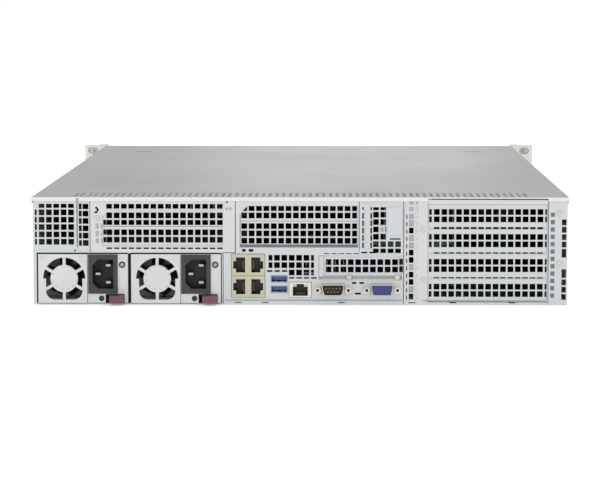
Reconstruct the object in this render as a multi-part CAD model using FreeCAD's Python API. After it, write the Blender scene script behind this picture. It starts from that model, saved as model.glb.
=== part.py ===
"""A two-unit rack server: chassis, cover, twin power supplies, fans, board, risers and eight drive bays.

The frame: X runs across, Z is up and the connector side faces -Y, so the drive bays face +Y.
The origin is the middle of the chassis floor's underside. Every size is in millimetres.
"""

import FreeCAD
import Part
import math
import os

# Chassis shell
chassis_width = 437.0
chassis_height = 88.0
chassis_depth = 705.0
sheet = 1.0
slip = 0.25                      # gap beside a sheet that slides past another
wall_flange = 9.0                # flange that the cover lies on
cover_side_lip = 5.0
cover_rear_lip = 3.2
front_deck_depth = 93.0          # fixed strip of lid above the drive bays
seam_gap = 0.6
cover_notch_width = 2.4
release_tab_spacing = 341.0
release_tab_width = 16.0
release_tab_depth = 11.0
release_tab_setback = 5.5
release_tab_sink = 0.5
standoff_across = 3.2            # from a standoff's axis to its corners
standoff_height = 3.6
standoff_inset = 12.0
standoff_columns = 3
standoff_rows = 3

# Cover ventilation band
vent_slot_pitch = 11.0
vent_slot_width = 8.0
vent_slot_length = 40.0
vent_band_width = 380.0
vent_band_setback = 5.0

# Perforation shared by the panels of the connector side
hole_pitch = 6.0
hole_size = 4.7
least_hole = 2.3                 # a hole cut narrower than this by its field's edge is left out
border = 1.0                     # plain sheet left at the edge of a field of holes

# Power supplies
psu_count = 2
psu_width = 73.5
psu_height = 40.0
psu_gap = 2.3
psu_clear = 0.5
psu_wall_gap = 2.6
psu_stop = 4.0                   # room behind a supply in its bay
guard_width = 39.8
guard_fit = 0.2
guard_thickness = 3.0
guard_proud = 1.6
guard_hub = 11.2
guard_spoke = 2.4
guard_spokes = 6
guard_side = 2.7                 # the guard's narrowest frame beside its opening
guard_bowl = 14.8                # half width of the opening's lower, squared half
guard_bowl_corner = 7.0
guard_offset = 1.2               # the fan's axis from the guard's middle
psu_fan_pocket = 27.0
psu_tip_gap = 1.7
psu_rotor_hub = 9.5
psu_rotor_length = 20.0
psu_blades = 5
inlet_gap = 1.4                  # between the guard and the inlet
inlet_width = 23.9
inlet_bottom = 7.6
inlet_top = 0.4
inlet_depth = 24.0
inlet_proud = 1.0
cavity_width = 17.0
cavity_height = 24.0
cavity_depth = 18.0
cavity_corner = 4.6
pin_thickness = 2.0
pin_width = 4.0
pin_spread = 14.0
pin_offset = 4.2                 # from the cavity's middle to the pins, to either side
pin_setback = 2.0                # behind the supply's face
latch_width = 11.6
latch_height = 6.4
latch_inset = 3.3                # from the supply's right side
latch_proud = 8.0
latch_rounding = 2.0
latch_arm_width = 4.0
latch_arm = 26.0
latch_travel = 3.0
latch_clear = 0.4

# Fans
running_gap = 0.8
fan_count = 3
fan_top_gap = 4.0
fan_depth = 38.0
fan_frame = 2.4                  # the frame's narrowest part, beside its bore
fan_hub = 19.0
fan_hub_plate = 4.0
fan_strut = 4.0
fan_blades = 5
fan_tip_gap = 1.4
blade_thickness = 1.2
blade_pitch = 32.0               # degrees from the axis
fan_floor_gap = 1.5
fan_room = 17.6                  # between the fans' wall and the drives' board
fan_post_slip = 0.25
fan_window_lap = 2.0

# Panels of the connector side, from the power supplies' side across
panel_gap = 0.5
panel_flange = 12.0
left_vent_width = 45.2
left_vent_seam = 35.4            # to the seam between its two fields of holes
left_riser_lap = 9.6             # how far the left bracket reaches over the connector panel
middle_riser_width = 100.1
centre_vent_width = 35.6
centre_vent_drop = 4.0           # how far it reaches down beside the connector panel's shelf
centre_pad_width = 12.1
centre_pad_height = 22.6
centre_pad_top = 6.5
centre_pad_thickness = 0.8
centre_bar_left = 5.0
centre_bar_width = 3.3
raised = 0.6                     # height of the pressed bars on the panels
column_width = 14.3              # the plain column at the right, to the wall's inside
right_strip_width = 11.0
strip_hole_width = 3.7
strip_hole_left = 4.1
column_hole_left = 10.6          # its holes' left edges from the column's left
column_fixing_share = 0.39       # of the height, where the screw between its two runs of holes is
column_fixing_clear = 4.8        # from that screw to the hole on either side of it
column_tall_hole = 7.0           # height of those two holes
column_head = 15.0               # from the panels' top to the upper run's end
io_rise = 3.0                    # of the connector panel's top over the supplies' roof
field_drop = 4.0                 # from the panels' top to their highest holes
field_rise = 6.0                 # from the roof of the supplies' bay to the lowest holes

# Expansion slots
slot_count = 4
slot_foot = 1.04                 # plain sheet under the lowest slot's share of the height
slot_head = 3.18
slot_gap = 1.92                  # between two slots' blanks
slot_window_left = 19.4          # from the bracket's left edge
slot_window_border = 0.6
slot_bar_height = 6.4
slot_first_column = 7.2          # from the window's edge to the first column of holes
cover_lap = 1.6                  # how far a blank laps behind its window's edge
blank_gap = 0.3                  # between two blanks in one window
left_window_side = 10.0
left_window_sill = 5.0
left_window_head = 9.5
left_window_corner = 5.0
left_seam_share = 0.5586         # the lower blank's share of its window's height
left_first_column = 5.4
left_header_row = 3.2            # from the window's head to its bracket's own row of holes
middle_window_side = 3.0
middle_window_sill = 0.9
middle_window_head = 5.2
middle_window_corner = 7.0
middle_seam_share = 0.6337
middle_first_column = 3.9
middle_band = 3.2                # plain band under the middle blanks' holes

# Connectors
board_thickness = 1.6
port_proud = 0.6
port_fit = 0.25
port_depth = 16.0
port_rim = 0.5
lan_left = 6.7                   # this and the next lefts are from the connector panel's left edge
lan_width = 27.0
lan_head = 0.9                   # sheet over the network jacks
lan_depth = 21.0
lan_column_pitch = 14.6
lan_row_pitch = 17.8
jack_width = 9.6
jack_height = 12.2
jack_notch = 2.2
jack_depth = 12.5
usb_left = 38.9
usb_width = 13.0
usb_height = 5.1
usb_pitch = 8.4
usb_lowest = 12.9                # centre of the lower socket
usb_depth = 12.0
usb_tongue = 1.7
management_left = 53.6
management_width = 18.0
management_height = 12.4
serial_share = 0.19              # of the room beside the serial port that lies on its left
vga_inset = 1.7                  # from its flange to the connector panel's right edge
dsub_height = 12.6               # centre above the floor's underside
dsub_width = 18.4
dsub_rise = 9.2
dsub_taper = 1.4
dsub_proud = 5.6
dsub_flange_width = 31.0
dsub_flange_height = 12.4
serial_recess = 4.5
vga_recess = 2.0
jackscrew_spread = 24.99
jackscrew_across = 2.8
low_slot_left = 77.7
low_slot_bottom = 20.4
low_slot_head = 1.6
low_slot_hook = 3.6
io_field_drop = 5.0
io_field_left = 3.0              # from the network jacks to the field of holes
io_first_column = 6.9
io_first_row = 2.4

# Board, processors and memory
board_gap = 3.0
board_side_gap = 2.0
board_fan_gap = 3.0
board_turn_gap = 3.0
heatsink_width = 78.0
heatsink_depth = 106.0
heatsink_height = 60.0
heatsink_base = 5.0
heatsink_fins = 8
heatsink_fin = 1.6
socket_size = 52.0
socket_height = 7.0
processor_spread = 206.0
memory_per_bank = 3
memory_pitch = 8.4
memory_length = 133.35
memory_height = 31.0
memory_thickness = 1.3
memory_slot_width = 6.4
memory_slot_height = 8.0
memory_slot_length = 142.0
riser_thickness = 1.6
riser_length = 165.0
riser_setback = 26.0
riser_inset = 3.0
right_riser_inset = 14.0
riser_slot_setback = 12.0
riser_slot_length = 89.0
riser_slot_depth = 11.2
riser_slot_height = 7.4
duct_wall = 1.5
duct_air_gap = 3.3               # over the heatsinks
duct_length = 138.0
duct_side_gap = 4.0
duct_fan_gap = 2.0

# Drive bays
bay_columns = 4
bay_rows = 2
bay_room = 5.0                   # in a bay's depth, behind its drive
shelf = 0.8
carrier_height = 26.9
carrier_gap = 0.7
carrier_floor = 0.8
carrier_rail = 1.2
carrier_rail_height = 15.0
bezel_depth = 15.0
bezel_setback = 1.5              # gap between the front plane and the bezel
drive_length = 147.0
drive_side_gap = 0.86
drive_top_gap = 0.5
lever_left = 5.0
lever_length = 76.0
lever_height = 19.0
lever_thickness = 4.4
lever_bevel = 1.2
lever_gap = 0.6
lever_grip_length = 8.0
lever_grip_inset = 4.0
lever_grip_depth = 2.2
hinge_pin_radius = 0.75
hinge_clear = 0.08
backplane_thickness = 2.4
backplane_gap = 2.0
bay_connector_width = 44.0
bay_connector_height = 7.0
bay_connector_rise = 3.0
vent_row_inset = 4.0
front_vents = 12
front_vent_rib = 4.0

# Rack ears
ear_reach = 22.8                 # past the chassis's side
rack_hole_inset = 8.75           # from the ear's outer edge
rack_hole_margin = 6.35          # from its upper and lower edges
rack_slot_length = 10.3
rack_slot_radius = 3.4
ear_overlap = 0.9                # of its height over the chassis's
ear_rise = 0.3                   # from the floor's underside
ear_thickness = 2.5
ear_arm_length = 46.0
ear_arm_margin = 9.0             # of the arm, from the chassis's floor and lid
grip_width = 9.0
grip_depth = 17.0
grip_rounding = 2.2
power_button_size = 5.6
power_button_rise = 64.0
reset_button_size = 3.4
reset_button_rise = 52.0
button_length = 5.0
button_proud = 0.8
button_travel = 1.5
button_fit = 0.25

# Places and sizes worked out from the sizes above
rear_y = -chassis_depth / 2
front_y = chassis_depth / 2
behind_y = rear_y + sheet
wall_x = chassis_width / 2 - sheet - slip
inner_x = wall_x - sheet
deck_z = chassis_height - sheet
panel_top_z = deck_z - panel_gap
flange_z = deck_z - sheet
seam_y = front_y - front_deck_depth
board_z = sheet + standoff_height
board_top_z = board_z + board_thickness

# from the bays back to the power supplies
carrier_pitch = 2 * inner_x / bay_columns
carrier_width = carrier_pitch - sheet - 2 * carrier_gap
drive_width = carrier_width - 2 * (carrier_rail + drive_side_gap)
drive_height = carrier_height - carrier_floor - drive_top_gap
row_pitch = carrier_height + 2 * carrier_gap + shelf
cage_depth = drive_length + bay_room
cage_rear_y = front_y - cage_depth
cage_top_z = sheet + bay_rows * row_pitch
bezel_y = front_y + bezel_setback
face_y = bezel_y + bezel_depth
fan_z = sheet + fan_floor_gap
fan_size = panel_top_z - fan_top_gap - fan_z
fan_bore = fan_size / 2 - fan_frame
fan_rotor_radius = fan_bore - fan_tip_gap
fan_y = cage_rear_y - backplane_gap - backplane_thickness - fan_room - sheet - fan_depth
board_front_y = fan_y - board_fan_gap
processor_y = board_front_y - board_side_gap - memory_slot_length / 2
board_turn_y = processor_y - memory_slot_length / 2 - board_side_gap
bay_front_y = board_turn_y - board_turn_gap
psu_depth = bay_front_y - psu_stop - rear_y
duct_height = board_top_z + socket_height + heatsink_height + duct_air_gap + duct_wall

# across the connector side
psu_z = sheet + psu_clear
psu_first_x = -inner_x + psu_wall_gap
bay_right_x = psu_first_x + psu_count * (psu_width + psu_gap) - psu_gap + psu_clear
roof_z = psu_z + psu_height + psu_clear
roof_top_z = roof_z + sheet
io_left_x = bay_right_x + sheet + panel_gap
io_top_z = roof_top_z + io_rise
left_riser_x = -inner_x + left_vent_width + panel_gap
left_riser_width = io_left_x + left_riser_lap - left_riser_x
middle_riser_x = left_riser_x + left_riser_width + panel_gap
centre_vent_x = middle_riser_x + middle_riser_width + panel_gap
right_riser_x = centre_vent_x + centre_vent_width + panel_gap
io_right_x = right_riser_x - panel_gap
column_x = inner_x - column_width
right_riser_width = column_x - panel_gap - right_riser_x
slot_pitch = (panel_top_z - sheet - slot_foot - slot_head) / slot_count
slot_lowest = sheet + slot_foot + slot_pitch / 2
slot_cover_height = slot_pitch - slot_gap
lan_height = roof_top_z - panel_gap - lan_head - board_top_z
management_right_x = io_left_x + management_left + management_width
vga_x = io_right_x - vga_inset - dsub_flange_width / 2
serial_room = vga_x - dsub_flange_width / 2 - management_right_x - dsub_flange_width
serial_x = management_right_x + serial_share * serial_room + dsub_flange_width / 2
low_slot_height = io_top_z - centre_vent_drop - low_slot_head - low_slot_bottom

# on a power supply and on the ears
guard_opening = guard_width / 2 - guard_side
psu_rotor_radius = guard_opening - psu_tip_gap
psu_fan_left = psu_clear + guard_width / 2 + guard_offset
inlet_left = guard_width + inlet_gap
inlet_height = psu_height - inlet_bottom - inlet_top
latch_left = psu_width - latch_inset - latch_width
rack_width = chassis_width + 2 * ear_reach
ear_height = chassis_height + ear_overlap
ear_arm_height = chassis_height - 2 * ear_arm_margin
rack_hole_spread = rack_width - 2 * rack_hole_inset
rack_hole_rise = ear_height - 2 * rack_hole_margin
grip_x = wall_x + grip_width / 2


def box(x0, x1, y0, y1, z0, z1):
    return Part.makeBox(x1 - x0, y1 - y0, z1 - z0, FreeCAD.Vector(x0, y0, z0))


def side_box(side, x0, x1, y0, y1, z0, z1):
    """A box whose distances x0 and x1 from the middle are taken to the left (-1) or right (1)."""
    low, high = sorted((side * x0, side * x1))
    return box(low, high, y0, y1, z0, z1)


def centred_box(x, z, width, height, y0, y1):
    return box(x - width / 2, x + width / 2, y0, y1, z - height / 2, z + height / 2)


def cylinder_y(x, y0, y1, z, radius):
    return Part.makeCylinder(radius, y1 - y0, FreeCAD.Vector(x, y0, z), FreeCAD.Vector(0, 1, 0))


def cylinder_z(x, y, z0, z1, radius):
    return Part.makeCylinder(radius, z1 - z0, FreeCAD.Vector(x, y, z0))


def joined(pieces):
    whole = pieces[0].fuse(pieces[1:]) if len(pieces) > 1 else pieces[0]
    return whole.removeSplitter()


def polygon(x, z, radius, sides, turn=0.0):
    return [(x + radius * math.cos(math.radians(turn + 360.0 * i / sides)),
             z + radius * math.sin(math.radians(turn + 360.0 * i / sides))) for i in range(sides)]


def rectangle(x0, x1, z0, z1):
    return [(x0, z0), (x1, z0), (x1, z1), (x0, z1)]


def outline(points, y):
    corners = [FreeCAD.Vector(x, y, z) for x, z in points]
    return Part.makePolygon(corners + corners[:1])


def plate(points, openings, y, thickness):
    """A flat sheet that stands across Y, with an opening for each list of points."""
    wires = [outline(points, y)] + [outline(opening, y) for opening in openings]
    face = Part.makeFace(wires, "Part::FaceMakerBullseye")
    return face.extrude(FreeCAD.Vector(0, thickness, 0))


def edges_along(shape, axis, beyond_y=None):
    """The straight edges that run along one axis, or those of them that lie beyond a distance."""
    found = [e for e in shape.Edges if abs(e.tangentAt(e.FirstParameter).dot(axis)) > 0.9]
    return [e for e in found if beyond_y is None or e.CenterOfMass.y > beyond_y]


def spans(low, high, at):
    """The lengths that one row of holes takes between two limits, cut short where it meets them."""
    first = math.ceil((low - at - hole_size / 2) / hole_pitch)
    last = math.floor((high - at + hole_size / 2) / hole_pitch)
    centres = [at + i * hole_pitch for i in range(first, last + 1)]
    cut = [(max(low, c - hole_size / 2), min(high, c + hole_size / 2)) for c in centres]
    return [(a, b) for a, b in cut if b - a >= least_hole]


def square_holes(x0, x1, z0, z1, x_at, z_at):
    """Square holes over a field, on one pitch from the hole centred on (x_at, z_at)."""
    return [rectangle(xa, xb, za, zb) for xa, xb in spans(x0, x1, x_at) for za, zb in spans(z0, z1, z_at)]


# Chassis and cover

def standoff_places():
    """Where the board is carried: a grid over the part of it that reaches the connectors."""
    left, right = io_left_x + standoff_inset, inner_x - standoff_inset
    near, far = rear_y + board_gap + standoff_inset, board_front_y - standoff_inset
    step_x, step_y = (right - left) / (standoff_columns - 1), (far - near) / (standoff_rows - 1)
    return [(left + i * step_x, near + j * step_y)
            for i in range(standoff_columns) for j in range(standoff_rows)]


def column_holes():
    """Two runs of holes in the right rear column, each ending in a tall one beside the screw."""
    left, web = column_x + column_hole_left, hole_pitch - hole_size
    centre, fixing = left + hole_size / 2, column_fixing_share * chassis_height
    lower, upper = fixing - column_fixing_clear, fixing + column_fixing_clear
    low, high = lower - column_tall_hole - web, upper + column_tall_hole + web
    return ([rectangle(left, inner_x, lower - column_tall_hole, lower),
             rectangle(left, inner_x, upper, upper + column_tall_hole)]
            + square_holes(left, inner_x, sheet + hole_size / 2, low, centre, low - hole_size / 2)
            + square_holes(left, inner_x, high, panel_top_z - column_head, centre, high + hole_size / 2))


def chassis_base():
    """Floor, side walls with the cover's flanges, the two rear columns and the board's standoffs."""
    pieces = [box(-wall_x, wall_x, rear_y, front_y, 0, sheet)]
    for side in (-1, 1):
        pieces.append(side_box(side, inner_x, wall_x, rear_y, front_y, 0, deck_z))
        pieces.append(side_box(side, wall_x - wall_flange, wall_x, behind_y + slip, front_y,
                               flange_z, deck_z))
    pieces.append(plate(rectangle(column_x, wall_x, sheet, deck_z), column_holes(), rear_y, sheet))
    pieces.append(box(-wall_x, psu_first_x - psu_clear, rear_y, behind_y, sheet, roof_z))
    for x, y in standoff_places():
        corners = [FreeCAD.Vector(px, py, sheet) for px, py in polygon(x, y, standoff_across, 6)]
        hexagon = Part.Face(Part.makePolygon(corners + corners[:1]))
        pieces.append(hexagon.extrude(FreeCAD.Vector(0, 0, standoff_height)))
    return joined(pieces)


def lid_lips(y0, y1):
    """The lips that a strip of lid has down its sides."""
    half = chassis_width / 2
    return [side_box(side, half - sheet, half, y0, y1, chassis_height - cover_side_lip, chassis_height)
            for side in (-1, 1)]


def top_cover():
    """The lifting cover: lips, a vent band by its rear edge and two sunk release tabs."""
    half = chassis_width / 2
    lip_y = rear_y - slip - sheet
    end_y = seam_y - seam_gap
    pieces = [box(-half, half, lip_y, end_y, deck_z, chassis_height)] + lid_lips(lip_y, end_y)
    notch_x = -inner_x + left_vent_seam
    ends = [-half, notch_x - cover_notch_width / 2, notch_x + cover_notch_width / 2,
            right_riser_x + slot_window_left, column_x - panel_gap, half]
    for x0, x1 in zip(ends[::2], ends[1::2]):
        pieces.append(box(x0, x1, lip_y, lip_y + sheet, chassis_height - cover_rear_lip, chassis_height))
    cover = joined(pieces)
    slots = []
    count = int(vent_band_width / vent_slot_pitch)
    for i in range(count):
        x = (i - (count - 1) / 2) * vent_slot_pitch
        slots.append(box(x - vent_slot_width / 2, x + vent_slot_width / 2, rear_y + vent_band_setback,
                         rear_y + vent_band_setback + vent_slot_length, deck_z, chassis_height))
    cover = cover.cut(Part.makeCompound(slots))
    tab_y = end_y - release_tab_setback
    for side in (-1, 1):
        x = side * release_tab_spacing / 2
        cover = cover.cut(box(x - release_tab_width / 2, x + release_tab_width / 2,
                              tab_y - release_tab_depth, tab_y,
                              chassis_height - release_tab_sink, chassis_height))
    return cover


def front_top_plate():
    """The fixed strip of lid over the bays, with a tongue between the ears."""
    half = chassis_width / 2
    shoulder = front_y - ear_thickness - slip
    return joined([box(-half, half, seam_y, shoulder, deck_z, chassis_height),
                   box(-inner_x, inner_x, seam_y, front_y, deck_z, chassis_height)]
                  + lid_lips(seam_y, front_y - ear_arm_length - slip))


# Connector side

def psu_cage():
    """The power supplies' bay: roof, inner wall and the vented panel above them."""
    left, seam, right = -inner_x, -inner_x + left_vent_seam, -inner_x + left_vent_width
    low, high = roof_z + field_rise, panel_top_z - field_drop
    row = high - hole_pitch - border
    holes = square_holes(left + border, seam - 3 * border, low, high, seam - 3 * border - hole_size / 2, row)
    holes += square_holes(seam + 2 * border, right - border, low, high, right - border - hole_size / 2,
                          row - border)
    face = plate(rectangle(left, right, roof_z, panel_top_z), holes, rear_y, sheet)
    roof = box(left, bay_right_x + sheet, rear_y, bay_front_y, roof_z, roof_top_z)
    wall = box(bay_right_x, bay_right_x + sheet, rear_y, bay_front_y, sheet, roof_top_z)
    flange = box(right - sheet, right, rear_y, rear_y + panel_flange, roof_z, panel_top_z)
    return joined([face, roof, wall, flange])


def cornered_window(x0, x1, z0, z1, corner):
    """A window's points, with its upper left corner cut off."""
    return [(x0, z0), (x1, z0), (x1, z1), (x0 + corner, z1), (x0, z1 - corner)]


def left_riser_window():
    x1 = left_riser_x + left_riser_width - left_window_side
    return (left_riser_x + left_window_side, x1,
            roof_top_z + left_window_sill, panel_top_z - left_window_head)


def left_riser_bracket():
    """The left bracket: a window for two blanks under a row of holes of its own."""
    right = left_riser_x + left_riser_width
    x0, x1, z0, z1 = left_riser_window()
    first = x0 + left_first_column
    holes = [cornered_window(x0, x1, z0, z1, left_window_corner)]
    holes += square_holes(first - hole_size / 2, x1, z1 + border, panel_top_z - field_drop,
                          first, z1 + left_header_row)
    face = plate(rectangle(left_riser_x, right, roof_top_z, panel_top_z), holes, rear_y, sheet)
    foot = box(left_riser_x, right, rear_y, rear_y + panel_flange, roof_top_z, roof_top_z + sheet)
    end = box(right - sheet, right, rear_y, rear_y + panel_flange, roof_top_z, panel_top_z)
    return joined([face, foot, end])


def middle_riser_window():
    x1 = middle_riser_x + middle_riser_width - border / 2
    return (middle_riser_x + middle_window_side, x1,
            io_top_z + middle_window_sill, panel_top_z - middle_window_head)


def middle_riser_bracket():
    right = middle_riser_x + middle_riser_width
    x0, x1, z0, z1 = middle_riser_window()
    face = plate(rectangle(middle_riser_x, right, io_top_z, panel_top_z),
                 [cornered_window(x0, x1, z0, z1, middle_window_corner)], rear_y, sheet)
    end = box(middle_riser_x, middle_riser_x + sheet, rear_y, rear_y + panel_flange, io_top_z, panel_top_z)
    return joined([face, end])


def blank(x0, x1, z0, z1, field, x_at, z_at, y):
    """A slot blank: a plate with square holes over its field, on a pitch from one hole's centre."""
    return plate(rectangle(x0, x1, z0, z1), square_holes(*field, x_at, z_at), y, sheet)


def left_slot_covers():
    """The two blanks that lie behind the left bracket's window."""
    x0, x1, z0, z1 = left_riser_window()
    seam, column = z0 + left_seam_share * (z1 - z0), x0 + left_first_column
    return [blank(x0 - cover_lap, x1 + cover_lap, z0 - cover_lap, seam - blank_gap,
                  (column - hole_size / 2, x1, z0 + border, seam - border),
                  column, seam - hole_pitch + border, behind_y),
            blank(x0 - cover_lap, x1 + cover_lap, seam, z1 + cover_lap,
                  (column - hole_size / 2, x1, seam + border, z1 - border),
                  column, z1 - hole_pitch + 2 * border, behind_y)]


def middle_slot_covers():
    """The two blanks that lie behind the middle bracket's window."""
    x0, x1, z0, z1 = middle_riser_window()
    seam, column = z0 + middle_seam_share * (z1 - z0), x0 + middle_first_column
    return [blank(x0 - cover_lap, x1, z0 - cover_lap / 2, seam - blank_gap,
                  (x0 + border, x1 - border, z0 + middle_band, seam - 2 * border),
                  column, z0 + middle_band + hole_size / 2, behind_y),
            blank(x0 - cover_lap, x1, seam, z1 + cover_lap,
                  (x0 + border, x1 - border, seam + border, z1 - border / 2),
                  column, seam + 2 * border + hole_size / 2, behind_y)]


def vent_panel():
    """The vented panel beside the middle riser, with the closed plate screwed to its corner."""
    left, right = centre_vent_x, centre_vent_x + centre_vent_width
    bottom = io_top_z - centre_vent_drop
    pad_right = right - border
    pad_left, pad_top = pad_right - centre_pad_width, panel_top_z - centre_pad_top
    pad_bottom = pad_top - centre_pad_height
    column, row = right - border - 0.7 * hole_size, bottom + 0.4 * hole_size
    first = right - border - 4 * hole_pitch
    holes = square_holes(first, pad_left - border, bottom + border / 2, pad_top, column, row)
    holes += square_holes(pad_left - border, right - border, bottom + border / 2, pad_bottom - 2 * border,
                          column, row)
    face = plate(rectangle(left, right, bottom, panel_top_z), holes, rear_y, sheet)
    bar = box(left + centre_bar_left, left + centre_bar_left + centre_bar_width, rear_y - raised, rear_y,
              bottom + hole_size, panel_top_z - cover_rear_lip)
    pad = box(pad_left, pad_right, rear_y - centre_pad_thickness, rear_y, pad_bottom, pad_top)
    return [joined([face, bar]), pad]


# Openings of the connector panel

def lan_place():
    left = io_left_x + lan_left
    return left, left + lan_width, board_top_z, board_top_z + lan_height


def usb_places():
    left = io_left_x + usb_left
    return [(left, left + usb_width, z - usb_height / 2, z + usb_height / 2)
            for z in (usb_lowest, usb_lowest + usb_pitch)]


def management_place():
    left = io_left_x + management_left
    return left, left + management_width, board_top_z, board_top_z + management_height


def dsub_outline(x, grow):
    """The D of a D-sub shell, wider at the top."""
    half, rise = dsub_width / 2 + grow, dsub_rise / 2 + grow
    return [(x - half + dsub_taper, dsub_height - rise), (x + half - dsub_taper, dsub_height - rise),
            (x + half, dsub_height + rise), (x - half, dsub_height + rise)]


def low_slot_window():
    return (io_left_x + low_slot_left, io_right_x - border,
            low_slot_bottom, low_slot_bottom + low_slot_height)


def io_panel():
    """The panel round the connectors, with the vent field over the small sockets and a shelf on top."""
    places = [lan_place(), management_place()] + usb_places()
    cuts = [rectangle(x0 - port_fit, x1 + port_fit, z0 - port_fit, z1 + port_fit)
            for x0, x1, z0, z1 in places]
    for x in (serial_x, vga_x):
        cuts.append(dsub_outline(x, port_fit))
    slot_x0, slot_x1, slot_z0, slot_z1 = low_slot_window()
    cuts.append(rectangle(slot_x0, slot_x1, slot_z0, slot_z1))
    high = io_top_z - io_field_drop
    field_left = lan_place()[1] + io_field_left
    turn = usb_places()[0][1]
    at = (field_left + io_first_column, high - io_first_row)
    cuts += square_holes(field_left, turn, usb_places()[1][3] + 3 * border, high, *at)
    cuts += square_holes(turn, slot_x0 - 4 * border, management_place()[3] + 3 * border, high, *at)
    step_x, step_z = centre_vent_x - panel_gap / 2, io_top_z - centre_vent_drop
    corner_z = roof_top_z - panel_gap
    face = plate([(io_left_x, sheet), (io_right_x, sheet), (io_right_x, step_z), (step_x, step_z),
                  (step_x, io_top_z), (middle_riser_x, io_top_z), (middle_riser_x, corner_z),
                  (io_left_x, corner_z)], cuts, rear_y, sheet)
    flange_y = rear_y + panel_flange
    return joined([face, box(middle_riser_x, step_x, rear_y, flange_y, io_top_z - sheet, io_top_z),
                   box(step_x, io_right_x, rear_y, flange_y, step_z - sheet, step_z)])


def low_profile_cover():
    """The low slot's blank, hooked round the window's left edge."""
    x0, x1, z0, z1 = low_slot_window()
    hook_x = x0 + low_slot_hook
    first, row = hook_x + 2 * border, z0 + 0.58 * (z1 - z0)
    face = blank(x0 - cover_lap, x1 + border / 2, z0 - cover_lap / 2, z1 + cover_lap / 4,
                 (first, x1 - border / 2, row - 1.2 * hole_pitch, row + 1.2 * hole_pitch),
                 first + hole_size / 2, row - hole_pitch / 2, behind_y)
    hook = box(x0 + port_fit, hook_x, rear_y - raised, behind_y, z0 + 3 * border, z1 - port_fit)
    return joined([face, hook])


def slot_centres():
    return [slot_lowest + i * slot_pitch for i in range(slot_count)]


def slot_window():
    half = slot_cover_height / 2 + slot_window_border
    return (right_riser_x + slot_window_left, right_riser_x + right_riser_width - slot_window_border,
            slot_centres()[0] - half, slot_centres()[-1] + half)


def right_riser_bracket():
    """The bracket of the long slots: its frame, the bars between slots and a raised vented strip."""
    left, right = right_riser_x, right_riser_x + right_riser_width
    x0, x1, z0, z1 = slot_window()
    hole_x = left + strip_hole_left
    high = panel_top_z - 2 * hole_pitch
    holes = [rectangle(x0, x1, z0, z1)]
    holes += square_holes(hole_x, hole_x + strip_hole_width, sheet + hole_size / 2, high,
                          hole_x + strip_hole_width / 2, sheet + hole_pitch)
    pieces = [plate(rectangle(left, right, sheet, panel_top_z), holes, rear_y, sheet)]
    for x in (left + border, left + right_strip_width - border):
        pieces.append(box(x - border / 2, x + border / 2, rear_y - raised, rear_y, 2 * sheet,
                          panel_top_z - field_drop))
    for low, high in zip(slot_centres()[:-1], slot_centres()[1:]):
        middle = (low + high) / 2
        pieces.append(box(x0 - 2 * border, right, behind_y, behind_y + sheet, middle - slot_bar_height / 2,
                          middle + slot_bar_height / 2))
    pieces.append(box(left, left + sheet, rear_y, rear_y + panel_flange,
                      board_top_z + panel_gap, panel_top_z))
    return joined(pieces)


def right_slot_covers():
    """The blanks of the long slots, flush in the bracket's window and seated on its bars."""
    x0, x1, _, _ = slot_window()
    edge = slot_window_border / 2
    found = []
    for z in slot_centres():
        field = (x0 + edge + border, x1 - edge - border, z - hole_pitch, z + hole_pitch)
        found.append(blank(x0 + edge, x1 - edge, z - slot_cover_height / 2, z + slot_cover_height / 2,
                           field, x0 + slot_first_column, z + hole_pitch / 2, rear_y))
    return found


# Connectors

def jack_outline(x, z, notch_side):
    """An eight-way jack on its side: a square mouth with a notch for the plug's catch."""
    half_x, half_z, step = jack_width / 2, jack_height / 2, jack_height / 4
    edge = half_x - jack_notch
    points = [(-half_x, -half_z), (edge, -half_z), (edge, -step), (half_x, -step),
              (half_x, step), (edge, step), (edge, half_z), (-half_x, half_z)]
    return [(x + notch_side * px, z + pz) for px, pz in points]


def jack_centres():
    """The four network jacks' centres, with the side that each one's notch is on."""
    x0, x1, z0, z1 = lan_place()
    return [((x0 + x1 + side * lan_column_pitch) / 2, (z0 + z1 + rise * lan_row_pitch) / 2, side)
            for side in (-1, 1) for rise in (-1, 1)]


def lan_ports():
    """Two stacks of two network jacks in one block."""
    x0, x1, z0, z1 = lan_place()
    block = box(x0, x1, rear_y - port_proud, rear_y + lan_depth, z0, z1)
    for x, z, side in jack_centres():
        block = block.cut(plate(jack_outline(x, z, side), [], rear_y - port_proud, jack_depth))
    return block


def usb_ports():
    """Two stacked sockets in one shell, with a contact tongue in each."""
    (x0, x1, low, first_top), (_, _, second_low, high) = usb_places()
    mouth_y = rear_y - port_proud
    shell = box(x0, x1, mouth_y, rear_y + port_depth, board_top_z, high)
    shell = shell.cut(box(x0, x1, mouth_y, behind_y + port_fit, board_top_z, low))
    shell = shell.cut(box(x0, x1, mouth_y, behind_y + port_fit, first_top, second_low))
    for _, _, z0, z1 in usb_places():
        mouth = box(x0 + port_rim, x1 - port_rim, mouth_y, rear_y + usb_depth, z0 + port_rim, z1 - port_rim)
        tongue_top = z1 - 1.6 * port_rim
        tongue = box(x0 + 2 * port_rim, x1 - 2 * port_rim, rear_y + port_rim, rear_y + usb_depth,
                     tongue_top - usb_tongue, tongue_top)
        shell = shell.cut(mouth.cut(tongue))
    return shell


def management_port():
    """The management jack, which stands upright with its notch at the top."""
    x0, x1, z0, z1 = management_place()
    block = box(x0, x1, rear_y - port_proud, rear_y + port_depth, z0, z1)
    centre, mid = (x0 + x1) / 2, (z0 + z1) / 2
    mouth = [(centre - (pz - mid), mid + (px - centre)) for px, pz in jack_outline(centre, mid, 1)]
    return block.cut(plate(mouth, [], rear_y - port_proud, jack_depth))


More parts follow.
